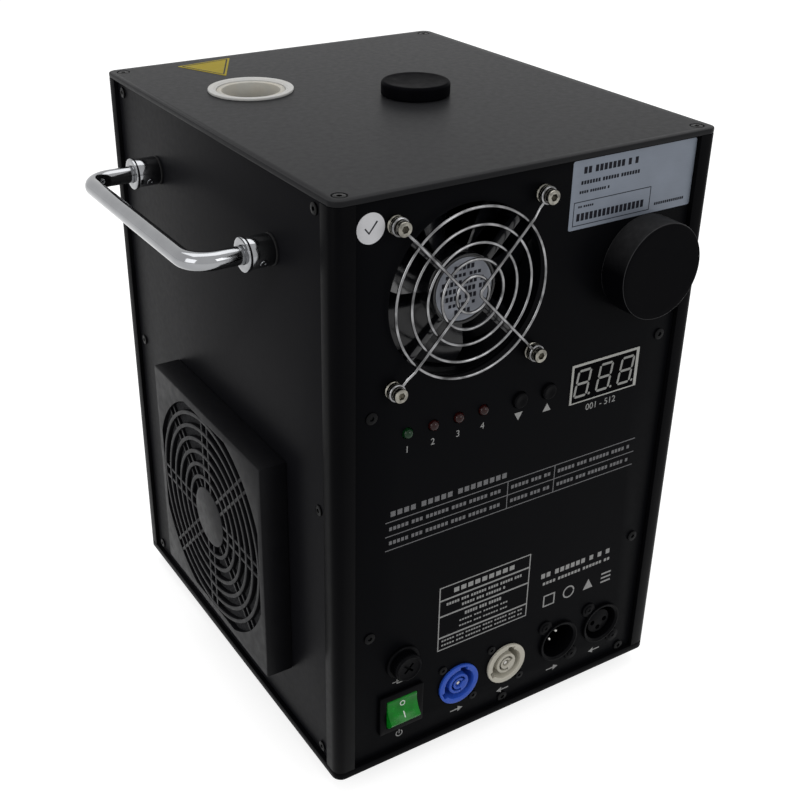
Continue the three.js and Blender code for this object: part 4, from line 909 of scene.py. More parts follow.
@dataclass
class Casing:
    """The box: top and bottom plates, corner posts, side skins and feet."""

    corner: float = 5.0
    chamfer: float = 0.55
    nozzle_hole: float = 18.5
    feed_hole: float = 13.5
    screw_inset: float = 6.75
    screw_well: float = 3.4
    post_face: float = 10.0
    post_lip: float = 8.0
    post_step: float = 3.5
    post_wall: float = 2.0
    intake_hole: float = 57.0
    skin_soft: float = 0.3
    side_screw_inset: float = 6.7
    side_screw_drop: float = 4.6
    top_screw_sunk: float = 1.1
    side_screw_sunk: float = 0.1
    foot_taper: float = 0.85
    foot_well: float = 3.6
    foot_well_depth: float = 4.0
    foot_screw: float = 3.1

    def build(self) -> None:
        """Builds every piece of the box."""
        self.top_plate()
        self.bottom_plate()
        for depth in ("front", "back"):
            for width in ("left", "right"):
                self.post(depth, width)
                self.foot(depth, width)
        self.skins()
        self.screws()

    def top_plate(self) -> None:
        """The plate, painted lighter than the sides for the light from above, with its chamfered rim, its two holes
        and its screw wells.
        """
        size, centre = size_of("top_plate"), middle("top_plate")
        tools = Form()
        for node, radius in (("nozzle_ring", self.nozzle_hole), ("feed_cap", self.feed_hole)):
            where = middle(node) - centre
            tools.drum(radius, -size.z - PROUD, PROUD, shift(where.x, where.y), 96)
        for x, y in self.top_screw_places():
            tools.turned([(0, -1.2), (self.screw_well - 0.5, -1.2), (self.screw_well, 0.1), (self.screw_well, PROUD),
                          (0, PROUD)], shift(x, y), 40)
        form = Form().plate(size.x, size.y, -size.z, 0, corner=self.corner, soft=self.chamfer).cut(tools)
        form.piece("top_cover", Side.TOP.before("top_plate"), LIT_TOP_PAINT, ["top_plate"])

    def top_screw_places(self) -> list[Point]:
        """The places of the four top screws, from the middle of the plate."""
        x, y = (side / 2 - self.screw_inset for side in size_of("top_plate").xy)
        return [(side * x, end * y) for side in (-1, 1) for end in (-1, 1)]

    def bottom_plate(self) -> None:
        """The base plate."""
        size = size_of("bottom_plate")
        place = Side.TOP.at(Vector((*middle("bottom_plate").xy, extent("bottom_plate")[1].z)))
        # The base plate's paint is darker than the side sheets': painted shade.
        Form().plate(size.x, size.y, -size.z, 0, corner=self.corner, soft=0.4).piece(
            "base_plate", place, SHADED_FRAME_PAINT, ["bottom_plate"])

    def post(self, depth: str, width: str) -> None:
        """One corner profile, rounded outside, with lips that the skins rest on.

        Args:
            depth: front or back.
            width: left or right.
        """
        node = f"post_{depth}_{width}"
        low, high = extent(node)
        side = 1 if width == "right" else -1
        end = 1 if depth == "back" else -1
        face, lip, step, wall = self.post_face, self.post_face + self.post_lip, self.post_step, self.post_wall
        points = [(0, 0), (-face, 0), (-face, -step), (-lip, -step), (-lip, -step - wall),
                  (-step - wall, -step - wall), (-step - wall, -lip), (-step, -lip), (-step, -face), (0, -face)]
        corner = Vector((high.x if side > 0 else low.x, high.y if end > 0 else low.y, 0))
        mirror = Matrix.Diagonal((side, end, 1, 1))
        # The posts' paint is darker than the side sheets': painted shade.
        Form().outline(points, low.z, high.z, mirror, soft=0.25, corners={0: self.corner}).piece(
            f"corner_{depth}_{width}", Matrix.Translation(corner), SHADED_FRAME_PAINT, [node])

    def foot(self, depth: str, width: str) -> None:
        """One rubber foot with its screw in a well underneath.

        Args:
            depth: front or back.
            width: left or right.
        """
        node = f"foot_{depth}_{width}"
        low, high = extent(node)
        wide, height = (high.x - low.x) / 2, high.z - low.z
        narrow = wide * self.foot_taper
        profile = [(0, self.foot_well_depth), (self.foot_well, self.foot_well_depth), (self.foot_well, 0.6), (4.2, 0),
                   (narrow - 1.2, 0), (narrow, 0.9), (wide, height - 0.8), (wide - 0.5, height), (0, height)]
        form = Form().turned(profile, soft=0.2).drum(self.foot_screw, 2.4, 4.2, coat=1, soft=0.3)
        form.piece(f"rubber_foot_{depth}_{width}", Matrix.Translation((*middle(node).xy, low.z)), [RUBBER, STEEL],
                   [node])

    def skins(self) -> None:
        """The plain side and back sheets, and the left one with its air hole."""
        for side in (Side.LEFT, Side.RIGHT, Side.BACK):
            node = side.value[2]
            size = size_of(node)
            across = size.x if side is Side.BACK else size.y
            deep = size.y if side is Side.BACK else size.x
            form = Form().plate(across, size.z, -deep, 0, soft=self.skin_soft)
            if side is Side.LEFT:
                where = middle("intake_cover") - middle(node)
                form.cut(Form().drum(self.intake_hole, -deep - PROUD, PROUD, shift(-where.y, where.z), 96))
            form.piece(f"{node[:-6]}_sheet", side.before(node), SIDE_PAINT, [node])

    def screws(self) -> None:
        """The black socket screws of the top plate, the side sheets and the back sheet."""
        head = SocketScrew(5.4, 1.0, 2.4, 0.8, 0.2).form()
        lid = Form()
        for x, y in self.top_screw_places():
            lid.add(head, shift(x, y, -self.top_screw_sunk))
        lid.piece("top_screws", Side.TOP.before("top_plate"), SCREW_BLACK)
        small = SocketScrew(5.2, 0.9, 2.2, 0.7, 0.35).form()
        for side in (Side.LEFT, Side.RIGHT, Side.BACK):
            low, high = extent(side.value[2])
            across = (high.x - low.x if side is Side.BACK else high.y - low.y) / 2 - self.side_screw_inset
            up = (high.z - low.z) / 2 - self.side_screw_drop
            row = Form()
            for x in (-across, across):
                for y in (-up, 0, up):
                    row.add(small, shift(x, y, -self.side_screw_sunk))
            row.piece(f"{side.name.lower()}_screws", side.before(side.value[2]), SCREW_BLACK)


@dataclass
class Handle:
    """A chrome handle on a side sheet: its bent rod and the two sleeves that hold it."""

    side: Side
    word: str
    rod: float = 4.0
    bend: float = 11.0
    gap: float = 0.3
    sleeve: float = 6.9
    disc: float = 7.5
    base: float = 7.0
    base_height: float = 1.1
    sleeve_height: float = 11.6
    disc_height: float = 13.5
    grub_turn: float = -28.0

    def build(self) -> None:
        """Builds the rod and both sleeves."""
        bar = f"handle_bar_{self.word}"
        low, high = extent(bar)
        span = (high.y - low.y) / 2 - self.rod
        reach = high.x - low.x + self.gap - self.rod
        place = self.side.before(bar)
        corners = [(-span, 0, self.gap), (-span, 0, reach), (span, 0, reach), (span, 0, self.gap)]
        Form().rod(corners, self.rod, [self.bend, self.bend], count=40, steps=16).piece(
            f"chrome_handle_{self.word}", place, CHROME, [bar])
        for end in ("front", "back"):
            self.ferrule(end)

    def ferrule(self, end: str) -> None:
        """One sleeve: a black base ring that stands for the shadow gap at the sheet as painted shade, the chrome
        sleeve with its grub screw, and the end disc.

        Args:
            end: front or back.
        """
        node = f"handle_ferrule_{end}_{self.word}"
        inner = self.rod + 0.1
        form = Form()
        # The black base ring stands for the shadow gap where the sleeve meets the sheet: painted shade.
        form.tube(self.base, inner, 0, self.base_height, coat=1, soft=0.3)
        form.tube(self.sleeve, inner, self.base_height, self.sleeve_height, soft=0.25)
        form.tube(self.disc, inner, self.sleeve_height, self.disc_height, soft=0.45)
        aside = turn(self.grub_turn if self.side is Side.LEFT else 180 - self.grub_turn) @ turn(90, "Y")
        grub = shift(0, 0, (self.base_height + self.sleeve_height) / 2) @ aside @ shift(0, 0, self.sleeve - 0.25)
        form.add(SocketScrew(3.4, 0.45, 1.7, 0.4, 0.12).form(), grub)
        form.piece(f"handle_sleeve_{end}_{self.word}", self.side.before(node), [CHROME, SHADOW_RING_BLACK], [node])


@dataclass(frozen=True)
class FanSizes:
    """The sizes of an axial fan of a square frame."""

    side: float
    bore: float
    hub: float
    pitch: float
    hole: float
    wall: float
    corner: float
    strut: float
    strut_depth: float
    chord: float
    blade: float
    gap: float
    finish: Finish
    depth: float = 25.0
    flange: float = 3.5
    setback: float = 0.4
    blades: int = 7
    clear: float = 0.4
    root_pitch: float = 0.9
    tip_pitch: float = 0.5


EXHAUST = FanSizes(side=80, bore=76, hub=31, pitch=71.5, hole=4.3, wall=1.6, corner=4, strut=3.2, strut_depth=3,
                   chord=27, blade=1.3, gap=1.0, finish=FAN_PLASTIC)
INTAKE = FanSizes(side=119, bore=114, hub=40, pitch=105, hole=4.3, wall=1.8, corner=5, strut=4, strut_depth=3,
                  chord=42, blade=1.6, gap=1.2, finish=DUST_BLACK)


@dataclass
class AxialFan:
    """A fan: its frame with struts and bearing plate, its bladed rotor and the sticker on the hub."""

    sizes: FanSizes
    word: str
    body: Body
    axes: Matrix
    sticker_rows: tuple[tuple[int, float], ...] = (
        (3, 0.17), (2, 0.3), (1, 0.36), (0, 0.38), (-1, 0.36), (-2, 0.24), (-3, 0.14),
    )

    def build(self) -> None:
        """Builds the frame and the rotor."""
        self.frame()
        self.rotor()

    def frame(self) -> None:
        """Two flanges, the duct, the screw bosses, four struts and the bearing plate."""
        s = self.sizes
        bore, half = s.bore / 2, s.pitch / 2
        tools = Form().drum(bore, -s.depth - PROUD, PROUD, count=96)
        for x in (-half, half):
            for y in (-half, half):
                tools.drum(s.hole / 2, -s.depth - PROUD, PROUD, shift(x, y), 24)
        flanges = Form()
        flanges.plate(s.side, s.side, -s.flange, 0, corner=s.corner, soft=0.3)
        flanges.plate(s.side, s.side, -s.depth, s.flange - s.depth, corner=s.corner, soft=0.3)
        form = flanges.cut(tools)
        form.tube(bore + s.wall, bore, 0.3 - s.depth, -0.3, count=96)
        for x in (-half, half):
            for y in (-half, half):
                form.tube(s.hole / 2 + 1.4, s.hole / 2, s.flange - s.depth, -s.flange, shift(x, y), 24)
        low, high = -s.setback - s.strut_depth, -s.setback
        for number in range(4):
            way = turn(45 + 90 * number)
            start, end = s.hub / 2 - 0.8, bore + s.wall / 2
            form.plate(end - start, s.strut, low, high - 0.02, way @ shift((start + end) / 2, 0), soft=0.4)
        form.turned([(0, low), (s.hub / 2, low), (s.hub / 2, high), (s.hub / 2 - 1.1, high),
                     (s.hub / 2 - 1.1, high - 0.5), (0, high - 0.5)], soft=0.15)
        form.piece(f"{self.word}_fan_housing", self.axes, s.finish, [f"{self.word}_fan_frame"])
        sticker = Form().drum(s.hub / 2 - 1.6, high - 0.5, high - 0.38, count=64)
        ink = Print(sticker, shift(0, 0, high - 0.38), coat=1)
        for row, share in self.sticker_rows:
            ink.dashes(-share * s.hub, share * s.hub, row * s.hub * 0.105, 1.5, 1.5 if row in (2, -2) else 2.1)
        sticker.piece(f"{self.word}_fan_sticker", self.axes, [HUB_FOIL, DARK_INK])

    def blade_form(self, low: float, high: float) -> bmesh.types.BMesh:
        """One arched blade, drawn flat and wrapped round the axis as it twists outwards.

        Args:
            low: the height of the rotor's lower end.
            high: the height of its upper end.

        Returns:
            The blade with its thickness.
        """
        s = self.sizes
        part = bmesh.new()
        bmesh.ops.create_grid(part, x_segments=10, y_segments=14, size=0.5)
        root, tip = s.hub / 2 - s.blade, s.bore / 2 - s.gap
        centre, half_height = (low + high) / 2, (high - low) / 2 - s.blade
        for vertex in part.verts:
            out, along = vertex.co.x + 0.5, vertex.co.y * 2
            radius = root + (tip - root) * out
            pitch = s.root_pitch + (s.tip_pitch - s.root_pitch) * out
            half = min(s.chord / 2, 0.92 * half_height / math.sin(pitch))
            corner = 1 - 0.12 * max(0.0, out - 0.7) / 0.3 * abs(along) ** 6
            across = along * half * corner
            lift = (1 - along * along) * s.blade
            angle = (across * math.cos(pitch) - lift * math.sin(pitch)) / radius
            height = centre + across * math.sin(pitch) + lift * math.cos(pitch)
            vertex.co = (radius * math.cos(angle), radius * math.sin(angle), height)
        bmesh.ops.recalc_face_normals(part, faces=part.faces)
        bmesh.ops.solidify(part, geom=part.faces[:], thickness=s.blade * 0.75)
        return part

    def rotor(self) -> None:
        """The hub with a rounded rim and its blades."""
        s = self.sizes
        high = -s.setback - s.strut_depth - s.clear
        low = s.clear - s.depth
        hub = s.hub / 2
        form = Form().turned([(0, low), (hub - 1.5, low), (hub, low + 1.5), (hub, high - 0.8), (hub - 0.8, high),
                              (0, high)], soft=0.25)
        form.drum(s.hole / 2, high - PROUD, high + s.strut_depth / 2, count=32)
        blade = Form().take(self.blade_form(low, high), STILL, 0)
        for number in range(s.blades):
            form.add(blade, turn(number * 360 / s.blades))
        form.piece(f"{self.word}_fan_wheel", self.axes, s.finish, [f"{self.word}_fan_rotor"], self.body)


@dataclass
class WireGuard:
    """The chrome wire guard with its four screws on their collars."""

    wire: float = 1.35
    rings: tuple[float, ...] = (37.2, 29.7, 22.2, 15.2, 8.0)
    weld: float = 0.25
    apex_gap: float = 2.2
    apex_bend: float = 2.6
    eye: float = 3.4
    step_start: float = 6.5
    step_end: float = 11.0
    step_bend: float = 2.5
    collar: float = 3.95
    collar_height: float = 3.2
    gap: float = 0.3
    head: float = 6.4
    head_height: float = 2.5

    @property
    def plane(self) -> float:
        """The height of the rings' wire over the panel."""
        return self.collar_height + self.gap + self.wire / 2

    def build(self) -> None:
        """Builds the guard and its screws."""
        axes = Side.FRONT.before("wire_guard")
        span = EXHAUST.pitch / 2
        form = Form()
        for radius in self.rings:
            form.hoop(radius, self.wire, shift(0, 0, self.plane))
        for x in (-1, 1):
            for y in (-1, 1):
                form.hoop(self.eye, self.wire, shift(x * span, y * span, self.plane), 40)
            self.spoke(form, x)
        form.piece("chrome_wire_guard", axes, GUARD_CHROME, ["wire_guard"])
        self.screws()

    def spoke(self, form: Form, side: int) -> None:
        """One bent wire from eye to eye, raised over the rings and bent at the middle.

        Args:
            form: the guard's form.
            side: -1 for the left wire, 1 for the right one.
        """
        span = EXHAUST.pitch / 2
        screw, apex = Vector((span, span)), Vector((self.apex_gap, 0))
        inward = (apex - screw).normalized()
        raised = self.plane + self.wire - self.weld
        half = [(self.eye, self.plane), (self.step_start, self.plane), (self.step_end, raised)]
        points = [(*(screw + inward * along), height) for along, height in half]
        lower = [(x, -y, z) for x, y, z in reversed(points)]
        corners = [(side * x, y, z) for x, y, z in [*points, (apex.x, 0, raised), *lower]]
        bends = [self.step_bend, self.step_bend, self.apex_bend, self.step_bend, self.step_bend]
        form.rod(corners, self.wire / 2, bends, count=14, steps=8)

    def screws(self) -> None:
        """The four socket screws, each on a grooved collar."""
        seat = self.plane + self.wire / 2 + self.gap
        cap = SocketScrew(self.head, self.head_height, 3.4, 1.9, 0.5).form()
        groove = self.collar - 0.45
        collar = [(0, 0), (self.collar, 0), (self.collar, 1.2), (groove, 1.45), (groove, 1.75), (self.collar, 2.0),
                  (self.collar, self.collar_height), (0, self.collar_height)]
        for number in range(1, 5):
            node = f"guard_screw_{number}"
            form = Form().turned(collar, count=48, soft=0.25)
            form.drum(1.9, 0.2, seat + 0.2, count=24)
            form.drum(2.9, seat - 0.25, seat + 0.1, count=32, soft=0.1)
            form.add(cap, shift(0, 0, seat))
            form.piece(f"guard_cap_screw_{number}", Side.FRONT.before(node), NICKEL, [node])


@dataclass
class IntakeCover:
    """The square cover on the left: a box, a grille of rings and paired spokes, and its dust screen."""

    wall: float = 2.0
    face: float = 2.5
    centre: float = 15.7
    slot: float = 4.6
    rib: float = 2.0
    rim: float = 4.2
    rings: int = 7
    spoke: float = 1.6
    spoke_pitch: float = 6.1
    sunk: float = 0.15
    sunk_far: float = 1.1
    screen: float = 1.2
    pressed: float = 0.1

    def build(self) -> None:
        """Builds the cover in one piece."""
        low, high = extent("intake_cover")
        side, depth = high.z - low.z, high.x - low.x
        window = side / 2 - self.rim
        reach = self.centre + self.rings * (self.slot + self.rib) - self.rib
        inner = side - 2 * self.wall
        base = depth - self.face
        hollow = Form().plate(inner, inner, -PROUD, base)
        opening = Form().take(self.opening(reach, window, depth), STILL, 0)
        form = Form().plate(side, side, 0, depth, soft=0.7).cut(hollow, opening)
        form.drum(self.centre, base, depth - 0.02, count=72, soft=0.2)
        for number in range(1, self.rings):
            outer = self.centre + number * (self.slot + self.rib)
            form.tube(outer, outer - self.rib, base, depth - 0.02, count=120, soft=0.2)
        for number in range(8):
            self.spokes(form, number, window, reach, depth)
        form.plate(inner + 2 * self.pressed, inner + 2 * self.pressed, base - self.screen, base - 0.05, coat=1)
        form.piece("ribbed_intake_cover", Side.LEFT.before("intake_cover"), [GRILLE_PLASTIC, DUST_SCREEN],
                   ["intake_cover"])

    def opening(self, reach: float, window: float, depth: float) -> bmesh.types.BMesh:
        """The outline that all the openings share: a disc trimmed by the square rim.

        Args:
            reach: the radius of the disc.
            window: how far the trimmed sides stand from the middle.
            depth: the cover's depth.

        Returns:
            The tool that cuts it.
        """
        part = bmesh.new()
        bmesh.ops.create_circle(part, cap_ends=True, radius=reach, segments=160)
        bmesh.ops.translate(part, vec=(0, 0, depth - self.face - PROUD), verts=part.verts)
        for way in ((1, 0, 0), (-1, 0, 0), (0, 1, 0), (0, -1, 0)):
            bmesh.ops.bisect_plane(part, geom=part.verts[:] + part.edges[:] + part.faces[:],
                                   plane_co=Vector(way) * window, plane_no=way, clear_outer=True)
        raised = bmesh.ops.extrude_face_region(part, geom=part.faces[:])
        bmesh.ops.translate(part, vec=(0, 0, self.face + 2 * PROUD), verts=only(raised["geom"], bmesh.types.BMVert))
        return part

    def spokes(self, form: Form, number: int, window: float, reach: float, depth: float) -> None:
        """One pair of spokes, a little lower than the rings, and much lower on one diagonal.

        Args:
            form: the cover's form.
            number: which of the eight pairs.
            window: the half width of the opening.
            reach: the radius of the opening.
            depth: the cover's depth.
        """
        end = (reach if number % 2 else window) + 0.6
        start = self.centre - PROUD
        sunk = self.sunk_far if number in (3, 7) else self.sunk
        length = end - start
        for side in (-1, 1):
            place = turn(45 * number) @ shift(start + length / 2, side * self.spoke_pitch / 2)
            form.plate(length, self.spoke, depth - self.face, depth - sunk, place, soft=0.15)


@dataclass
class Print:
    """Thin ink laid on a face: bars, frames, dashes, arrows and figures, all on one form."""

    form: Form
    place: Matrix
    coat: int = 0
    rise: float = 0.04
    line: float = 0.45

    def shape(self, points: Sequence[Point], x: float = 0.0, y: float = 0.0) -> None:
        """A filled outline, with its own origin at a point."""
        self.form.outline(points, 0, self.rise, self.place @ shift(x, y), self.coat)

    def bar(self, start: Point, end: Point, width: float | None = None) -> None:
        """A straight line.

        Args:
            start: its first end.
            end: its other end.
            width: how wide it is, if not as the other lines.
        """
        a, b = Vector(start), Vector(end)
        way = b - a
        place = self.place @ shift(*((a + b) / 2)) @ Matrix.Rotation(math.atan2(way.y, way.x), 4, "Z")
        self.form.plate(way.length, width or self.line, 0, self.rise, place, coat=self.coat)

    def frame(self, left: float, right: float, low: float, high: float) -> None:
        """A rectangle, its upright lines ending at the level ones.

        Args:
            left: its left side.
            right: its right side.
            low: its lower side.
            high: its upper side.
        """
        half = self.line / 2
        for level in (low, high):
            self.bar((left - half, level), (right + half, level))
        for x in (left, right):
            self.bar((x, low + half), (x, high - half))

    def dashes(self, left: float, right: float, level: float, length: float, thick: float,
               groups: tuple[int, ...] = (5, 3, 6, 4)) -> None:
        """A row of plain dashes between two ends, in groups.

        Args:
            left: where the row starts.
            right: where it ends at the latest.
            level: the height of its middle.
            length: the length of a dash.
            thick: how thick a dash is.
            groups: how many dashes stand together, over and over.
        """
        x, group, step = left, 0, length * 1.4
        while x + length <= right:
            for _ in range(groups[group % len(groups)]):
                if x + length > right:
                    break
                place = self.place @ shift(x + length / 2, level)
                self.form.plate(length, thick, 0, self.rise, place, coat=self.coat)
                x += step
            x += step * 0.6
            group += 1

    def band(self, x: float, y: float, radius: float, start: float, end: float) -> None:
        """A line along an arc.

        Args:
            x: where its centre is, across.
            y: where its centre is, upwards.
            radius: its radius.
            start: its first angle, in degrees.
            end: its last angle.
        """
        half = self.line / 2
        outer = arc((0, 0), radius + half, start, end, 28)
        self.shape([*outer, *reversed(arc((0, 0), radius - half, start, end, 28))], x, y)

    def arrow(self, x: float, y: float, way: int) -> None:
        """An arrow to the right (1) or to the left (-1)."""
        points = [(-3.8, -0.36), (0.7, -0.36), (0.7, -1.7), (3.8, 0), (0.7, 1.7), (0.7, 0.36), (-3.8, 0.36)]
        self.shape([(way * a, b) for a, b in points], x, y)

    def figures(self, text: str, height: float, x: float, y: float) -> None:
        """Plain figures, centred on a point."""
        self.form.sign(text, height, self.rise, self.place @ shift(x, y), self.coat)


@dataclass
class FrontPrint:
    """What is printed on the front: figures, arrows and rules, all plain."""

    left: float = -71.2
    right: float = 72.5
    dividers: tuple[float, float] = (-4.75, 22.75)
    levels: tuple[float, float, float] = (149.0, 141.5, 134.1)
    notice_box: tuple[float, float, float, float] = (-40.4, 12.5, 64.4, 101.6)
    notice_rules: tuple[float, ...] = (94.0, 84.6, 71.8)
    notice_rows: tuple[tuple[float, float, float], ...] = (
        (90.9, 4, 1.5), (87.6, 13, 1.5), (81.7, 15, 1.8), (78.2, 12, 0.9), (75.0, 12, 0.9), (69.5, 2, 0.9),
        (66.9, 2, 0.9),
    )
    bright: Form = field(default_factory=Form)
    faint: Form = field(default_factory=Form)

    def build(self) -> None:
        """Prints the bright marks and the faint rules."""
        self.marks()
        self.symbols()
        self.notice()
        self.rows()
        self.table()
        self.bright.piece("front_marks", Side.FRONT.sheet(), WHITE_INK)
        self.faint.piece("front_rules", Side.FRONT.sheet(), FAINT_INK)

    def marks(self) -> None:
        """The numbers of the lights, the triangles of the buttons and the range of the display."""
        ink = Print(self.bright, STILL)
        for number in range(1, 5):
            spot = middle(f"indicator_{number}")
            ink.figures(str(number), 3.2, spot.x, spot.z - 8.2)
        down, up, shown = middle("down_button"), middle("up_button"), middle("display")
        ink.shape([(-2.3, 1.9), (2.3, 1.9), (0, -2.1)], down.x, down.z - 8.4)
        ink.shape([(-2.3, -1.9), (2.3, -1.9), (0, 2.1)], up.x, up.z - 8.4)
        ink.figures("001 - 512", 3.3, shown.x + 0.2, shown.z - 14.7)

    def symbols(self) -> None:
        """The plain signs under the fuse, the switch and the four connectors."""
        ink = Print(self.bright, STILL, line=0.5)
        fuse, switch = middle("fuse_holder"), middle("power_switch")
        level = fuse.z - 11.2
        ink.frame(fuse.x - 2.6, fuse.x + 2.6, level - 1.1, level + 1.1)
        for start, end in ((-5.2, -3.0), (-2.2, 2.2), (3.0, 5.2)):
            ink.bar((fuse.x + start, level), (fuse.x + end, level), 0.4)
        level = switch.z - 16.5
        ink.band(switch.x, level, 1.75, 125, 415)
        ink.bar((switch.x, level - 0.1), (switch.x, level + 2.4))
        for node, way, aside, drop in (("power_inlet", 1, 0, 17.3), ("power_outlet", -1, -0.6, 17.3),
                                       ("data_in_socket", 1, -2.0, 17.7), ("data_out_socket", -1, -2.0, 17.7)):
            spot = middle(node)
            ink.arrow(spot.x + aside, spot.z - drop, way)

    def table(self) -> None:
        """The ruled table under the lights, its cells filled with dashes."""
        ink = Print(self.faint, STILL)
        left, right, (first, second), half = self.left, self.right, self.dividers, ink.line / 2
        for level in self.levels:
            ink.bar((left, level), (right, level))
        for upper, lower in zip(self.levels, self.levels[1:]):
            for x in (first, second):
                ink.bar((x, upper - half), (x, lower + half))
            level = (upper + lower) / 2
            for start, end in ((left + 2, first - 4), (first + 2, second - 2), (second + 2, right - 3)):
                ink.dashes(start, end, level, 1.5, 1.9)
        ink.dashes(left + 2.6, first - 1, 152.9, 2.5, 2.7, (4, 5, 8))

    def notice(self) -> None:
        """The plain framed area over the connectors."""
        ink = Print(self.bright, STILL, line=0.6)
        left, right, half = *self.notice_box[:2], ink.line / 2
        ink.frame(*self.notice_box)
        for level in self.notice_rules:
            ink.bar((left + half, level), (right - half, level), 0.9)
        ink.dashes(left + 8, right - 7, 97.8, 2.9, 2.6, (20,))
        for level, inset, thick in self.notice_rows:
            ink.dashes(left + inset, right - inset, level, 1.1, thick)

    def rows(self) -> None:
        """Two rows of dashes and four plain shapes over the data connectors."""
        ink = Print(self.bright, STILL, line=0.8)
        ink.dashes(20.5, 67, 84.9, 2.4, 2.8, (2, 6, 1, 1))
        ink.dashes(22, 66, 79.8, 1.5, 1.7, (4, 7, 6))
        ink.frame(23.6, 30.2, 65.2, 71.6)
        ink.band(39.6, 68.4, 3.3, 0, 354)
        ink.shape([(49.2, 65.4), (55.6, 65.4), (52.4, 71.4)])
        for level in (65.8, 68.4, 71.0):
            ink.bar((61.0, level), (67.4, level), 1.0)


@dataclass
class FrontPanel:
    """The black front sheet with its openings, its screws and its labels."""

    fan_hole: float = 38.0
    lamp_hole: float = 2.75
    button_hole: float = 4.15
    power_hole: float = 11.0
    data_hole: float = 10.9
    fuse_hole: float = 6.3
    film: float = 0.12
    sheet: float = 1.5
    label: tuple[float, float, float, float] = (17.6, 86.9, 266.2, 296.6)
    sticker: float = 6.3
    sticker_place: Point = (-79.9, 286.4)
    screw_places: tuple[Point, ...] = ((-79, 203.8), (79, 203.8), (-79, 88.8), (79, 88.8), (1, 17.2), (79, 17.2))

    def build(self) -> None:
        """Builds the sheet and what is stuck and screwed to it."""
        low, high = extent("control_panel")
        width, height, centre = high.x - low.x, high.z - low.z, middle("control_panel")
        thick = self.sheet
        tools = Form()
        rounds = [("exhaust_fan_frame", self.fan_hole), ("down_button", self.button_hole),
                  ("up_button", self.button_hole), ("power_inlet", self.power_hole),
                  ("power_outlet", self.power_hole), ("data_in_socket", self.data_hole),
                  ("data_out_socket", self.data_hole), ("fuse_holder", self.fuse_hole)]
        rounds += [(f"indicator_{number}", self.lamp_hole) for number in range(1, 5)]
        for node, radius in rounds:
            spot = middle(node)
            tools.drum(radius, -thick - PROUD, PROUD, shift(spot.x, spot.z), 96 if radius > 20 else 48)
        for node, inset in (("display", 0.15), ("power_switch", 1.2)):
            size, spot = size_of(node), middle(node)
            tools.plate(size.x - 2 * inset, size.z - 2 * inset, -thick - PROUD, PROUD, shift(spot.x, spot.z))
        form = Form().plate(width, height, -thick, 0, shift(centre.x, centre.z), soft=0.25).cut(tools)
        # The front sheet's paint is darker than the side sheets': painted shade.
        form.piece("front_sheet", Side.FRONT.sheet(), SHADED_PANEL_PAINT, ["control_panel"])
        self.screws()
        self.labels()

    def screws(self) -> None:
        """The black screws along the edges and beside the power connectors."""
        edge = SocketScrew(5.6, 0.8, 2.4, 0.6, 0.3).form()
        small = SocketScrew(4.6, 0.7, 1.9, 0.5, 0.25).form()
        form = Form()
        for x, z in self.screw_places:
            form.add(edge, shift(x, z, -0.05))
        for node in ("power_inlet", "power_outlet"):
            spot = middle(node)
            form.add(small, shift(spot.x - 9.5, spot.z + 12, -0.05))
            form.add(small, shift(spot.x + 9.5, spot.z - 12, -0.05))
        form.piece("front_screws", Side.FRONT.sheet(), SCREW_BLACK)

    def labels(self) -> None:
        """The silver label, bare but for dashes, and the round paper sticker with a tick."""
        left, right, low, high = self.label
        label = Form().plate(right - left, high - low, 0, self.film, shift((left + right) / 2, (low + high) / 2),
                             corner=1.0)
        ink = Print(label, shift(0, 0, self.film), coat=1, line=0.35)
        ink.frame(left + 2.2, left + 45, low + 1.8, low + 12.2)
        ink.dashes(left + 6, left + 36, high - 4.6, 1.7, 2.9, (2, 7, 1, 1))
        ink.dashes(left + 5, left + 39, high - 9.9, 1.1, 1.6, (7, 6, 7, 5))
        ink.dashes(left + 4.5, left + 22, high - 14.0, 0.9, 1.2, (4, 7, 3))
        ink.dashes(left + 4.5, left + 13, low + 10.0, 0.8, 0.9, (2, 5, 2))
        ink.dashes(left + 4, left + 43.5, low + 5.4, 1.7, 3.3, (20,))
        ink.dashes(left + 48, right - 3, low + 3.8, 0.9, 1.2, (20,))
        label.piece("silver_label", Side.FRONT.sheet(), [LABEL_FOIL, DARK_INK])
        spot = shift(*self.sticker_place)
        sticker = Form().drum(self.sticker, 0, self.film, spot, 64)
        Print(sticker, spot @ shift(0, 0, self.film), coat=1).shape(
            [(-2.8, 0.1), (-0.8, -2.4), (3.1, 2.3), (2.6, 2.8), (-0.8, -1.5), (-2.4, 0.5)])
        sticker.piece("round_sticker", Side.FRONT.sheet(), [PAPER, DARK_INK])


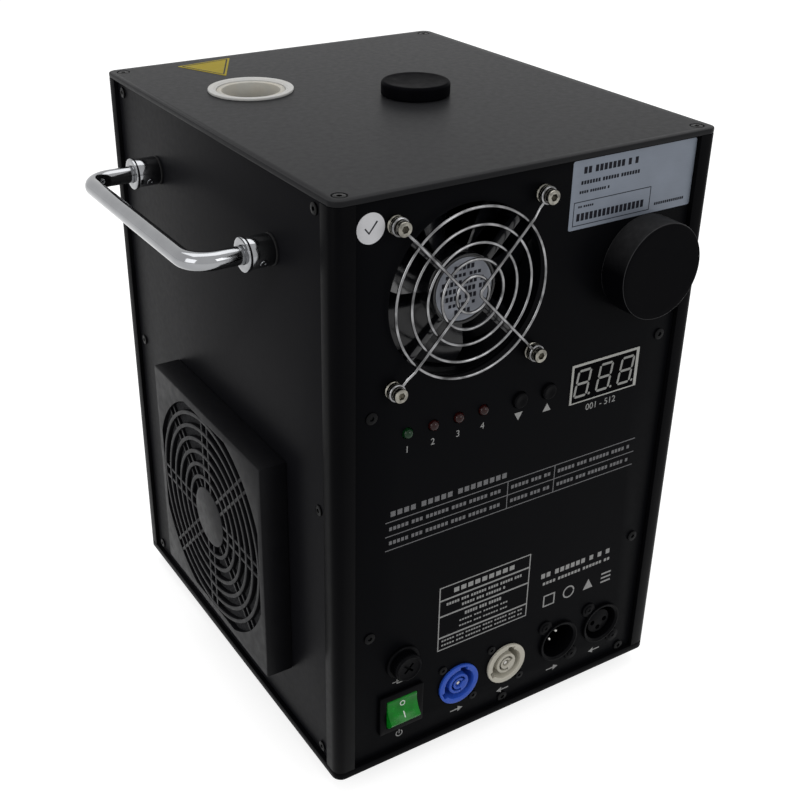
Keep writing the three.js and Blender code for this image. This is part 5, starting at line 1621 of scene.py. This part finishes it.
@dataclass
class Controls:
    """Lights, buttons and the three-figure display, all on the front."""

    lamp: float = 2.5
    lamp_rise: float = 2.4
    button: float = 3.75
    button_rise: float = 1.8
    rim_right: float = 1.6
    rim_low: float = 1.0
    face_left: float = 1.15
    face_right: float = 1.9
    face_top: float = 1.2
    face_low: float = 0.8
    digit_height: float = 13.1
    digit_width: float = 7.15
    digit_pitch: float = 13.0
    digit_rise: float = 0.03
    point: float = 0.65
    stroke: float = 1.2
    stroke_gap: float = 0.25
    slant: float = 8.3

    def build(self) -> None:
        """Builds them all."""
        for number in range(1, 5):
            self.light(number)
        for node, body in (("down_button", Body.DOWN_BUTTON), ("up_button", Body.UP_BUTTON)):
            self.key(node, body)
        self.display()

    def light(self, number: int) -> None:
        """One domed light on its flange.

        Args:
            number: which of the four.
        """
        node = f"indicator_{number}"
        dome = arc((0, self.lamp_rise - self.lamp), self.lamp, 0, 90, 12)
        profile = [(0, -9.2), (3.0, -9.2), (3.0, -8.2), (self.lamp, -8.2), *dome[:-1], (0, self.lamp_rise)]
        Form().turned(profile, count=40).piece(f"light_{number}", Side.FRONT.before(node),
                                                GREEN_LENS if number == 1 else RED_LENS, [node])

    def key(self, node: str, body: Body) -> None:
        """One push button with a dished top.

        Args:
            node: its CAD node.
            body: the body that it rides on.
        """
        profile = [(0, -4), (self.button, -4), (self.button, -3), (4.75, -3), (4.75, -1.9), (self.button, -1.9),
                   (self.button, self.button_rise - 0.5), (self.button - 0.5, self.button_rise),
                   (self.button - 1.2, self.button_rise), (1.2, self.button_rise - 0.35),
                   (0, self.button_rise - 0.4)]
        Form().turned(profile, count=48, soft=0.12).piece(f"{node}_cap", Side.FRONT.before(node), FITTING_PLASTIC,
                                                           [node], body)

    def display(self) -> None:
        """The pale body and its rim, the black face and the three unlit figures."""
        low, high = extent("display")
        width, height, rise = high.x - low.x, high.z - low.z, 0.5
        body = Form().plate(width - 0.4, height - 0.4, -9.2, 0, soft=0.2)
        rim_width, rim_height = width + self.rim_right, height + self.rim_low
        across, up = self.rim_right / 2, -self.rim_low / 2
        body.plate(rim_width, rim_height, 0, rise - 0.1, shift(across, up), soft=0.2)
        face_width = rim_width - self.face_left - self.face_right
        face_height = rim_height - self.face_top - self.face_low
        across += (self.face_left - self.face_right) / 2
        up += (self.face_low - self.face_top) / 2
        body.plate(face_width, face_height, rise - 0.2, rise - 0.04, shift(across, up), coat=1)
        lean = Matrix.Identity(4)
        lean[0][1] = math.tan(math.radians(self.slant))
        for number in (-1, 0, 1):
            place = shift(across + number * self.digit_pitch, up + 0.15, rise - 0.04) @ lean
            self.figure(body, place)
        body.piece("display_unit", Side.FRONT.before("display"), [PALE_PLASTIC, WINDOW, DIGIT], ["display"])

    def figure(self, form: Form, place: Matrix) -> None:
        """One unlit figure of seven strokes and its point.

        Args:
            form: the display's form.
            place: the axes of its middle, leaning as it does.
        """
        width, height, gap = self.digit_width, self.digit_height, self.stroke_gap
        lying = [(0, height / 2), (0, 0), (0, -height / 2)]
        standing = [(x, y) for x in (-width / 2, width / 2) for y in (-height / 4, height / 4)]
        for x, y in lying:
            self.stroke_bar(form, place @ shift(x, y), width - 2 * gap)
        for x, y in standing:
            self.stroke_bar(form, place @ shift(x, y) @ turn(90), height / 2 - 2 * gap)
        form.drum(self.point, 0, self.digit_rise, place @ shift(width / 2 + 1.7, -height / 2 + 0.2), 20, coat=2)

    def stroke_bar(self, form: Form, place: Matrix, length: float) -> None:
        """One stroke with pointed ends.

        Args:
            form: the display's form.
            place: the axes of the stroke's middle.
            length: how long it is.
        """
        x, y = length / 2, self.stroke / 2
        points = [(-x, 0), (-x + y, -y), (x - y, -y), (x, 0), (x - y, y), (-x + y, y)]
        form.outline(points, 0, self.digit_rise, place, coat=2)


@dataclass
class Fuse:
    """The fuse holder on the front and its turning cap."""

    flange: float = 9.0
    flange_height: float = 1.8
    barrel: float = 6.0
    cap: float = 7.5
    rise: float = 6.5
    stem: float = 3.5
    slot: float = 6.5
    slot_width: float = 1.2
    ribs: int = 36

    def build(self) -> None:
        """Builds the holder and the cap."""
        bore = self.stem + 0.4
        Form().turned([(0, -34), (self.barrel, -34), (self.barrel, 0), (self.flange, 0), (self.flange, 1.3),
                       (self.flange - 0.6, self.flange_height), (bore, self.flange_height), (bore, -12.3),
                       (0, -12.3)], soft=0.15).piece("fuse_seat", Side.FRONT.before("fuse_holder"), FITTING_PLASTIC,
                                                     ["fuse_holder"])
        low, top = self.flange_height + 0.3, self.rise
        floor = top - 0.5
        blank = Form().turned([(0, -12), (self.stem, -12), (self.stem, low), (self.cap - 0.25, low),
                               (self.cap - 0.25, top - 0.9), (self.cap - 1.0, top), (self.cap - 1.6, top),
                               (self.cap - 1.9, floor), (0, floor)], soft=0.15)
        form = blank.cut(*(Form().plate(self.slot, self.slot_width, floor - 1.4, top + PROUD, turn(angle))
                           for angle in (45, 135)))
        for number in range(self.ribs):
            way = turn(number * 360 / self.ribs) @ shift(self.cap - 0.3, 0)
            form.plate(0.6, 0.6, low + 0.3, top - 1.1, way, soft=0.12)
        form.piece("fuse_knob", Side.FRONT.before("fuse_holder"), FITTING_PLASTIC, ["fuse_cap"], Body.FUSE_CAP)


@dataclass
class PowerSwitch:
    """The rocker switch: a black bezel with a deep well, and the green rocker in it."""

    bezel_width: float = 24.6
    bezel_height: float = 23.1
    bezel: float = 2.0
    corner: float = 1.0
    body_width: float = 22.0
    body_height: float = 20.6
    body_length: float = 21.0
    width: float = 16.8
    radius: float = 8.6
    running: float = 0.4
    edge: float = 48.6
    dip: float = 1.5
    pivot: float = 1.7
    heel: float = 5.0
    axle: float = 1.5
    axle_end: float = 1.4
    tilt: float = 20.0

    def build(self) -> None:
        """Builds the switch body and the rocker."""
        self.switch_body()
        self.rocker()

    @property
    def drum_axis(self) -> Matrix:
        """The axes of the rocker's drum: its Z lies along the face's X, its X goes up, its Y comes out."""
        return shift(0, 0, -self.pivot) @ Matrix(((0, 0, 1, 0), (1, 0, 0, 0), (0, 1, 0, 0), (0, 0, 0, 1)))

    def switch_body(self) -> None:
        """The bezel and the housing, hollowed round the rocker."""
        half = self.width / 2 + self.running
        tool = Form().drum(self.radius + self.running, -half, half, self.drum_axis, 72)
        form = Form().plate(self.bezel_width, self.bezel_height, 0, self.bezel, corner=self.corner, soft=0.5)
        form.cut(tool)
        housing = Form().plate(self.body_width, self.body_height, -self.body_length, -0.02)
        housing.cut(Form().drum(self.radius + self.running, -half, half, self.drum_axis, 72))
        form.add(housing)
        form.piece("switch_bezel", Side.FRONT.before("power_switch"), FITTING_PLASTIC, ["power_switch"])

    def rocker(self) -> None:
        """The green drum with its hollow face, a ring at the top and a bar below."""
        edge = math.radians(self.edge)
        edge_x, edge_y = self.radius * math.cos(edge), self.radius * math.sin(edge)
        hollow = (edge_x ** 2 + self.dip ** 2) / (2 * self.dip)
        sweep = math.degrees(math.asin(edge_x / hollow))
        heel = math.degrees(math.asin(self.heel / self.radius))
        level = edge_y + hollow - self.dip
        points = [*arc((0, 0), self.radius, -heel, self.edge, 12),
                  *arc((0, level), hollow, sweep - 90, -sweep - 90, 16)[1:-1],
                  *arc((0, 0), self.radius, 180 - self.edge, 180 + heel, 12)]
        leaning = Side.FRONT.before("power_switch") @ shift(0, 0, -self.pivot) @ turn(-self.tilt, "X")
        drum = leaning @ shift(0, 0, self.pivot) @ self.drum_axis
        form = Form().outline(points, -self.width / 2, self.width / 2, soft=0.35)
        form.drum(self.axle, -self.width / 2 - self.axle_end, self.width / 2 + self.axle_end, count=24)
        ring, bar = (self.mark_axes(spot, level, hollow) for spot in (3.0, -2.9))
        form.tube(1.45, 1.0, -0.25, 0.12, ring, 40, coat=1)
        form.plate(3.4, 0.55, -0.25, 0.12, bar, coat=1)
        form.piece("green_rocker", drum, [ROCKER_GREEN, MARK_WHITE], ["power_rocker"], Body.ROCKER)

    def mark_axes(self, spot: float, level: float, hollow: float) -> Matrix:
        """The axes of a mark on the hollow face.

        Args:
            spot: how far up the face it is.
            level: the height of the hollow's centre.
            hollow: the hollow's radius.

        Returns:
            The axes, with Z out of the face.
        """
        height = level - math.sqrt(hollow ** 2 - spot ** 2)
        slope = math.degrees(math.asin(spot / hollow))
        return shift(spot, height) @ turn(slope) @ turn(-90, "X")


@dataclass
class PowerConnector:
    """A round locking power connector: a keyed ring, a post in its bore, and silvered contacts."""

    node: str
    finish: Finish
    ring: float = 11.5
    rise: float = 1.4
    bore: float = 8.6
    depth: float = 15.0
    post: float = 5.7
    post_setback: float = 0.4
    contact: float = 1.9
    barrel: float = 10.7
    barrel_length: float = 24.0
    keys: tuple[float, float] = (75.0, 205.0)
    key_width: float = 4.2
    key_depth: float = 1.5

    def build(self) -> None:
        """Builds the connector."""
        post_top = self.rise - self.post_setback
        blank = Form().turned([(0, -self.barrel_length), (self.barrel, -self.barrel_length), (self.barrel, 0),
                               (self.ring, 0), (self.ring, self.rise), (self.bore, self.rise),
                               (self.bore, -self.depth), (self.post, -self.depth), (self.post, post_top),
                               (self.contact, post_top), (self.contact, -8), (0, -8)], soft=0.3)
        top = self.rise + PROUD
        tools = [Form().plate(self.key_depth + 2, self.key_width, 0.5 - self.depth, top,
                              turn(angle) @ shift(self.bore - 1 + self.key_depth / 2, 0)) for angle in self.keys]
        tools.append(Form().outline([*arc((0, 0), 4.3, 20, 290, 24), *reversed(arc((0, 0), 3.2, 20, 290, 24))],
                                    -6, top))
        tools.append(Form().plate(2.8, 1.2, -6.5, top, turn(25) @ shift(2.7, 0)))
        form = blank.cut(*tools)
        form.drum(0.95, -8, post_top - 0.6, count=24, coat=1, soft=0.25)
        form.plate(3.0, 0.8, -9, -2, turn(125) @ shift(7.2, 0), coat=1)
        form.plate(3.0, 0.8, -9, -2, turn(305) @ shift(7.2, 0), coat=1)
        form.piece(f"{self.node}_connector", Side.FRONT.before(self.node), [self.finish, CONTACT], [self.node])


@dataclass
class DataConnector:
    """A round data connector with two screw ears: it holds pins, or an insert with three holes."""

    node: str
    holds_pins: bool
    ring: float = 11.75
    rise: float = 1.6
    ear: float = 4.0
    ear_across: float = 9.5
    ear_up: float = 12.0
    bore: float = 9.8
    depth: float = 13.0
    barrel: float = 10.8
    barrel_length: float = 20.0
    pin: float = 1.2
    pin_length: float = 7.5
    circle: float = 4.0
    insert: float = 7.1
    insert_setback: float = 2.6
    ear_rise: float = 0.9
    angles: tuple[float, ...] = (180.0, 270.0, 0.0)

    def build(self) -> None:
        """Builds the connector."""
        shell = Form()
        for side in (-1, 1):
            shell.drum(self.ear, 0, self.ear_rise, shift(side * self.ear_across, -side * self.ear_up), 40, soft=0.3)
            link = math.degrees(math.atan2(-side * self.ear_up, side * self.ear_across))
            shell.plate(8, 6.4, 0.1, self.ear_rise - 0.1, turn(link) @ shift(10.4, 0), soft=0.2)
        shell.cut(Form().drum(self.bore, -PROUD, self.rise + PROUD, count=64))
        shell.turned([(self.bore, -self.depth), (self.barrel, -self.depth), (self.barrel, 0), (self.ring, 0),
                      (self.ring, self.rise), (self.ring - 0.9, self.rise), (self.ring - 1.1, self.rise - 0.35),
                      (self.bore + 0.5, self.rise - 0.35), (self.bore, self.rise - 0.8), (self.bore, -self.depth)],
                     soft=0.12)
        shell.drum(self.barrel, -self.barrel_length, -self.depth, count=64)
        screw = SocketScrew(4.8, 0.7, 2.0, 0.5, 0.25).form()
        for side in (-1, 1):
            shell.add(screw, shift(side * self.ear_across, -side * self.ear_up, self.ear_rise - 0.35))
        if self.holds_pins:
            shell.drum(self.bore, -self.depth - 0.5, 0.6 - self.depth, count=64)
            for x, y in self.contact_places():
                top = self.pin_length - self.depth
                shell.turned([(0, -self.depth), (self.pin, -self.depth), (self.pin, top - 0.9), (0.5, top), (0, top)],
                             shift(x, y), 28, coat=1, soft=0.15)
            shell.plate(2.6, 1.4, -self.depth, -2, shift(0, self.bore - 0.9), soft=0.2)
        else:
            face = self.rise - self.insert_setback
            holes = Form()
            for x, y in self.contact_places():
                holes.turned([(0, face - 8), (1.4, face - 8), (1.4, face - 0.3), (1.75, face + PROUD),
                              (0, face + PROUD)], shift(x, y), 28)
            shell.add(Form().drum(self.insert, -self.depth, face, count=64, soft=0.3).cut(holes))
            shell.plate(3.4, 2.4, -self.depth, face - 1.2, shift(0, self.insert + 0.3), soft=0.2)
        shell.piece(f"{self.node}_shell", Side.FRONT.before(self.node), [FITTING_PLASTIC, CONTACT], [self.node])

    def contact_places(self) -> list[Point]:
        """Where the three contacts stand."""
        return [(self.circle * math.cos(math.radians(a)), self.circle * math.sin(math.radians(a)))
                for a in self.angles]


@dataclass
class RoundCover:
    """The big plain cap on the front and the socket ring behind it."""

    radius: float = 22.5
    length: float = 14.5
    wall: float = 2.2
    face: float = 3.0
    edge: float = 0.8
    gap: float = 0.3
    highlight_ring: float = 0.32
    running: float = 0.4
    socket_wall: float = 3.2
    socket_length: float = 10.5

    def build(self) -> None:
        """Builds the cap and its socket."""
        inner = self.radius - self.wall
        rim = arc((self.radius - self.edge, self.length - self.edge), self.edge, 0, 90, 6)
        profile = [(inner, self.gap), (self.radius - 0.3, self.gap), (self.radius, self.gap + 0.4), *rim,
                   (self.radius - 3.4, self.length - 0.12), (0, self.length - 0.12), (0, self.length - self.face),
                   (inner, self.length - self.face), (inner, self.gap)]
        cap = Form().turned(profile, count=120)
        # Two thin rings of lighter plastic at the front and back rims are painted highlights along the edges.
        cap.hoop(self.radius - self.highlight_ring, self.highlight_ring, shift(0, 0, self.length - self.highlight_ring), 120, 8, coat=1)
        cap.hoop(self.radius - self.highlight_ring * 0.6, self.highlight_ring, shift(0, 0, self.gap + self.highlight_ring * 0.8), 120, 8,
                 coat=1)
        cap.piece("round_cap", Side.FRONT.before("round_cover"), [CAP_PLASTIC, RIM_HIGHLIGHT_PAINT], ["round_cover"],
                  Body.ROUND_COVER)
        outer = inner - self.running
        bore = outer - self.socket_wall
        rings = Form().tube(outer - 0.5, bore, 0, self.socket_length, count=96, soft=0.3)
        for level in (2.4, 5.2, 8.0):
            rings.tube(outer, outer - 1.2, level, level + 1.1, count=96, soft=0.35)
        rings.drum(bore, 0.02, 1.2, count=72)
        rings.piece("cap_socket", Side.FRONT.before("round_cover"), FITTING_PLASTIC, ["cover_socket"])


@dataclass
class SparkPath:
    """The ceramic nozzle ring over its heater tube, the feed cap over the hopper, and the yellow film."""

    nozzle: float = 20.6
    nozzle_rise: float = 1.2
    bore: float = 16.5
    spigot: float = 18.2
    spigot_length: float = 10.0
    cap: float = 16.5
    cap_rise: float = 6.7
    plug: float = 10.7
    plug_wall: float = 2.0
    plug_length: float = 8.0
    seat: float = 0.3
    hopper: Profile = ((11.4, 0), (13.0, 0), (13.0, -2.8), (31, -14), (31, -36), (7.5, -78), (7.5, -89), (5.5, -89),
                       (5.5, -78), (29, -36), (29, -16), (11.4, -4.8), (11.4, 0))
    film: float = 0.12
    film_tips: tuple[Point, ...] = ((34.6, -10.0), (66.0, -6.5), (48.0, -40.0))
    film_corner: float = 0.8
    film_border: float = 0.84

    def build(self) -> None:
        """Builds the ring, the tube, the cap, the hopper and the film."""
        rise, bore = self.nozzle_rise, self.bore
        Form().turned([(bore + 0.25, -self.spigot_length), (self.spigot, -self.spigot_length), (self.spigot, 0),
                       (self.nozzle, 0), (self.nozzle, rise), (bore + 1.3, rise), (bore + 0.9, rise - 0.5),
                       (bore + 0.25, rise - 0.5), (bore + 0.25, -self.spigot_length)], count=96, soft=0.3).piece(
            "ceramic_ring", Side.TOP.before("nozzle_ring"), CERAMIC, ["nozzle_ring"])
        self.heater()
        self.feed()
        self.patch()

    def heater(self) -> None:
        """The heater tube with a cream liner that shows in the ring's bore."""
        top = extent("top_plate")[1].z
        start, end = (corner.z - top for corner in extent("heater_tube"))
        socket = self.spigot + self.seat + 0.2
        bottom = -self.spigot_length - self.seat
        profile = [(13, start), (17, start), (17, bottom - 2), (21.5, bottom - 2), (21.5, end), (socket, end),
                   (socket, bottom), (13, bottom), (13, start)]
        form = Form().turned(profile, count=72, soft=0.3)
        liner = self.bore + 0.1
        form.tube(liner, 14.0, bottom + 0.4, self.nozzle_rise - 1.0, count=96, coat=1, soft=0.5)
        form.turned([(14.2, bottom - 0.1), (14.2, bottom - 26), (13.3, bottom - 26), (13.3, bottom - 0.1),
                     (14.2, bottom - 0.1)], count=72, coat=1)
        form.piece("heater_pipe", Side.TOP.before("nozzle_ring"), [CERAMIC, LINER], ["heater_tube"])

    def feed(self) -> None:
        """The feed cap, with a softly rounded rim, and the steel hopper under it."""
        axes = Side.TOP.before("feed_cap")
        low, high, plug = self.seat, self.cap_rise, self.plug
        inner = plug - self.plug_wall
        Form().turned([(0, low), (inner, low), (inner, low - self.plug_length), (plug, low - self.plug_length),
                       (plug, low), (self.cap - 0.3, low), (self.cap, low + 0.4), (self.cap, high - 1.0),
                       (self.cap - 0.8, high), (self.cap - 2.0, high), (self.cap - 2.6, high - 0.15),
                       (0, high - 0.15)], count=96, soft=0.25).piece("feed_lid", axes, FEED_PLASTIC, ["feed_cap"],
                                                                     Body.FEED_CAP)
        Form().turned(self.hopper, count=72, soft=0.2).piece("steel_hopper", axes, STEEL, ["hopper"])

    def patch(self) -> None:
        """The plain yellow triangle on the top plate, with a dark inner line."""
        low, high = extent("top_plate")
        corner = Side.TOP.at(Vector((low.x, high.y, high.z)))
        tips = [Vector(tip) for tip in self.film_tips]
        centre = sum(tips, Vector((0, 0))) / len(tips)
        film = Form().outline(self.film_tips, 0, self.film, corner, corners=dict.fromkeys(range(3), self.film_corner))
        ink = Print(film, corner @ shift(0, 0, self.film), coat=1, line=0.7)
        inner = [tuple(centre + (tip - centre) * self.film_border) for tip in tips]
        for start, end in zip(inner, inner[1:] + inner[:1]):
            ink.bar(start, end)
        film.piece("yellow_triangle", STILL, [YELLOW_FILM, DARK_INK])


@dataclass
class Insides:
    """The pieces inside the casing that keep their CAD shapes and take a finish."""

    finishes: tuple[tuple[str, Finish], ...] = (
        ("control_board", BOARD), ("power_supply", STEEL), ("feed_tube", STEEL), ("feed_auger", STEEL),
        ("feed_motor", STEEL), ("blower_housing", FITTING_PLASTIC), ("blower_impeller", FITTING_PLASTIC),
    )

    def build(self) -> None:
        """Dresses each node."""
        for name, finish in self.finishes:
            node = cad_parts[name]
            for slot in node.material_slots:
                slot.material = material_of(finish)
            log.info("%s: CAD shape in %s", name, finish.name)


@dataclass(frozen=True)
class Lamp:
    """A soft rectangular lamp: where it stands, how big it is and how strong."""

    name: str
    place: tuple[float, float, float]
    size: tuple[float, float]
    power: float

    def build(self, target: Vector) -> None:
        """Stands the lamp up.

        Args:
            target: the point that it is turned to.
        """
        light = bpy.data.lights.new(self.name, "AREA")
        light.shape = "RECTANGLE"
        light.size, light.size_y = self.size
        light.energy = self.power
        aim = (Vector(self.place) - target).to_track_quat("Z", "Y").to_matrix().to_4x4()
        stand(self.name, light).matrix_world = Matrix.Translation(self.place) @ aim


@dataclass
class Studio:
    """The pale floor, the soft light and the camera at the photograph's viewing angle."""

    floor_size: float = 9.0
    paper: float = 0.5
    glow: float = 0.745
    sky: float = 0.55
    target: tuple[float, float, float] = (0.0, 0.0, 0.16)
    lamps: tuple[Lamp, ...] = (
        Lamp("overhead", (0.1, 0.35, 1.7), (1.6, 1.2), 12.0),
        Lamp("left", (-1.5, -0.5, 0.8), (0.9, 1.1), 7.0),
        Lamp("front", (0.7, -1.6, 1.0), (1.0, 0.8), 7.0),
    )
    azimuth: float = -31.307
    elevation: float = 28.382
    roll: float = 0.295
    camera_place: tuple[float, float, float] = (-0.30641, -0.47438, 0.44977)
    focal_length: float = 54.654
    sensor: float = 36.0
    shift_across: float = 0.04599
    shift_up: float = -0.0102

    def build(self) -> None:
        """Sets the room up."""
        bpy.context.scene.view_settings.view_transform = "Standard"
        self.world()
        self.floor()
        for lamp in self.lamps:
            lamp.build(Vector(self.target))
        self.camera()

    def show(self, tree: bpy.types.NodeTree, hidden: Socket, plain: Socket, kind: str) -> None:
        """Gives what the camera sees, in a mirror or through glass too, a shader of its own.

        Args:
            tree: the nodes of the floor or the world.
            hidden: the shader that lights the machine.
            plain: the shader that is seen.
            kind: the type of the tree's output node.
        """
        ray = tree.nodes.new("ShaderNodeLightPath").outputs
        seen = wired(tree, "Math", {0: ray["Is Camera Ray"], 1: ray["Is Glossy Ray"]}, operation="MAXIMUM")
        seen = wired(tree, "Math", {0: seen, 1: ray["Is Transmission Ray"]}, operation="MAXIMUM")
        shader = wired(tree, "MixShader", {0: seen, 1: hidden, 2: plain})
        tree.links.new(shader, tree.nodes.new(kind).inputs["Surface"])

    def world(self) -> None:
        """A white room to the camera and to mirrors, and a softer light on the surfaces."""
        world = bpy.data.worlds.new("studio")
        world.use_nodes = True
        bpy.context.scene.world = world
        tree = world.node_tree
        tree.nodes.clear()
        soft = wired(tree, "Background", {"Color": WHITE, "Strength": self.sky})
        self.show(tree, soft, wired(tree, "Background", {"Color": WHITE}), "ShaderNodeOutputWorld")

    def floor(self) -> None:
        """A white floor that the camera sees as paper, with the machine's soft shadow on it."""
        part = bmesh.new()
        bmesh.ops.create_grid(part, x_segments=1, y_segments=1, size=self.floor_size / 2)
        mesh = bpy.data.meshes.new("floor")
        part.to_mesh(mesh)
        part.free()
        material = bpy.data.materials.new("studio_floor")
        material.use_nodes = True
        tree = material.node_tree
        tree.nodes.clear()
        paper = wired(tree, "BsdfDiffuse", {"Color": (self.paper, self.paper, self.paper, 1)})
        glow = wired(tree, "Emission", {"Color": WHITE, "Strength": self.glow})
        self.show(tree, paper, wired(tree, "AddShader", {0: paper, 1: glow}), "ShaderNodeOutputMaterial")
        mesh.materials.append(material)
        floor = stand("floor", mesh)

    def camera(self) -> None:
        """The camera, from the photograph's measured place and direction."""
        azimuth, elevation, roll = (math.radians(a) for a in (self.azimuth, self.elevation, self.roll))
        back = Vector((math.sin(azimuth) * math.cos(elevation), -math.cos(azimuth) * math.cos(elevation),
                       math.sin(elevation)))
        right = Vector((0, 0, 1)).cross(back).normalized()
        up = back.cross(right)
        tilted_right = right * math.cos(roll) + up * math.sin(roll)
        tilted_up = up * math.cos(roll) - right * math.sin(roll)
        lens = bpy.data.cameras.new("photo_camera")
        lens.sensor_fit = "HORIZONTAL"
        lens.sensor_width = self.sensor
        lens.lens = self.focal_length
        lens.shift_x = self.shift_across
        lens.shift_y = self.shift_up
        lens.clip_start = 0.01
        camera = stand("photo_camera", lens)
        aim = Matrix((tilted_right, tilted_up, back)).transposed().to_4x4()
        camera.matrix_world = Matrix.Translation(self.camera_place) @ aim
        bpy.context.scene.camera = camera


def intake_axes() -> Matrix:
    """The axes of the intake fan, whose struts are on its inner side."""
    place = middle("intake_fan_frame")
    return Side.RIGHT.at(Vector((extent("intake_fan_frame")[1].x, place.y, place.z)))


def exhaust_axes() -> Matrix:
    """The axes of the exhaust fan, whose struts are behind the front sheet."""
    place = middle("exhaust_fan_frame")
    return Side.FRONT.at(Vector((place.x, extent("exhaust_fan_frame")[0].y, place.z)))


def main() -> None:
    """Builds the machine and its studio."""
    logging.basicConfig(level=logging.INFO, format="%(name)s: %(message)s")
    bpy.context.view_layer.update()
    Studio().build()
    Casing().build()
    Handle(Side.LEFT, "left").build()
    Handle(Side.RIGHT, "right").build()
    AxialFan(EXHAUST, "exhaust", Body.EXHAUST_ROTOR, exhaust_axes()).build()
    AxialFan(INTAKE, "intake", Body.INTAKE_ROTOR, intake_axes()).build()
    WireGuard().build()
    IntakeCover().build()
    FrontPanel().build()
    FrontPrint().build()
    Controls().build()
    Fuse().build()
    PowerSwitch().build()
    PowerConnector("power_inlet", BLUE_PLASTIC).build()
    PowerConnector("power_outlet", GREY_PLASTIC).build()
    DataConnector("data_in_socket", holds_pins=True).build()
    DataConnector("data_out_socket", holds_pins=False).build()
    RoundCover().build()
    SparkPath().build()
    Insides().build()


if __name__ == "__main__":
    main()
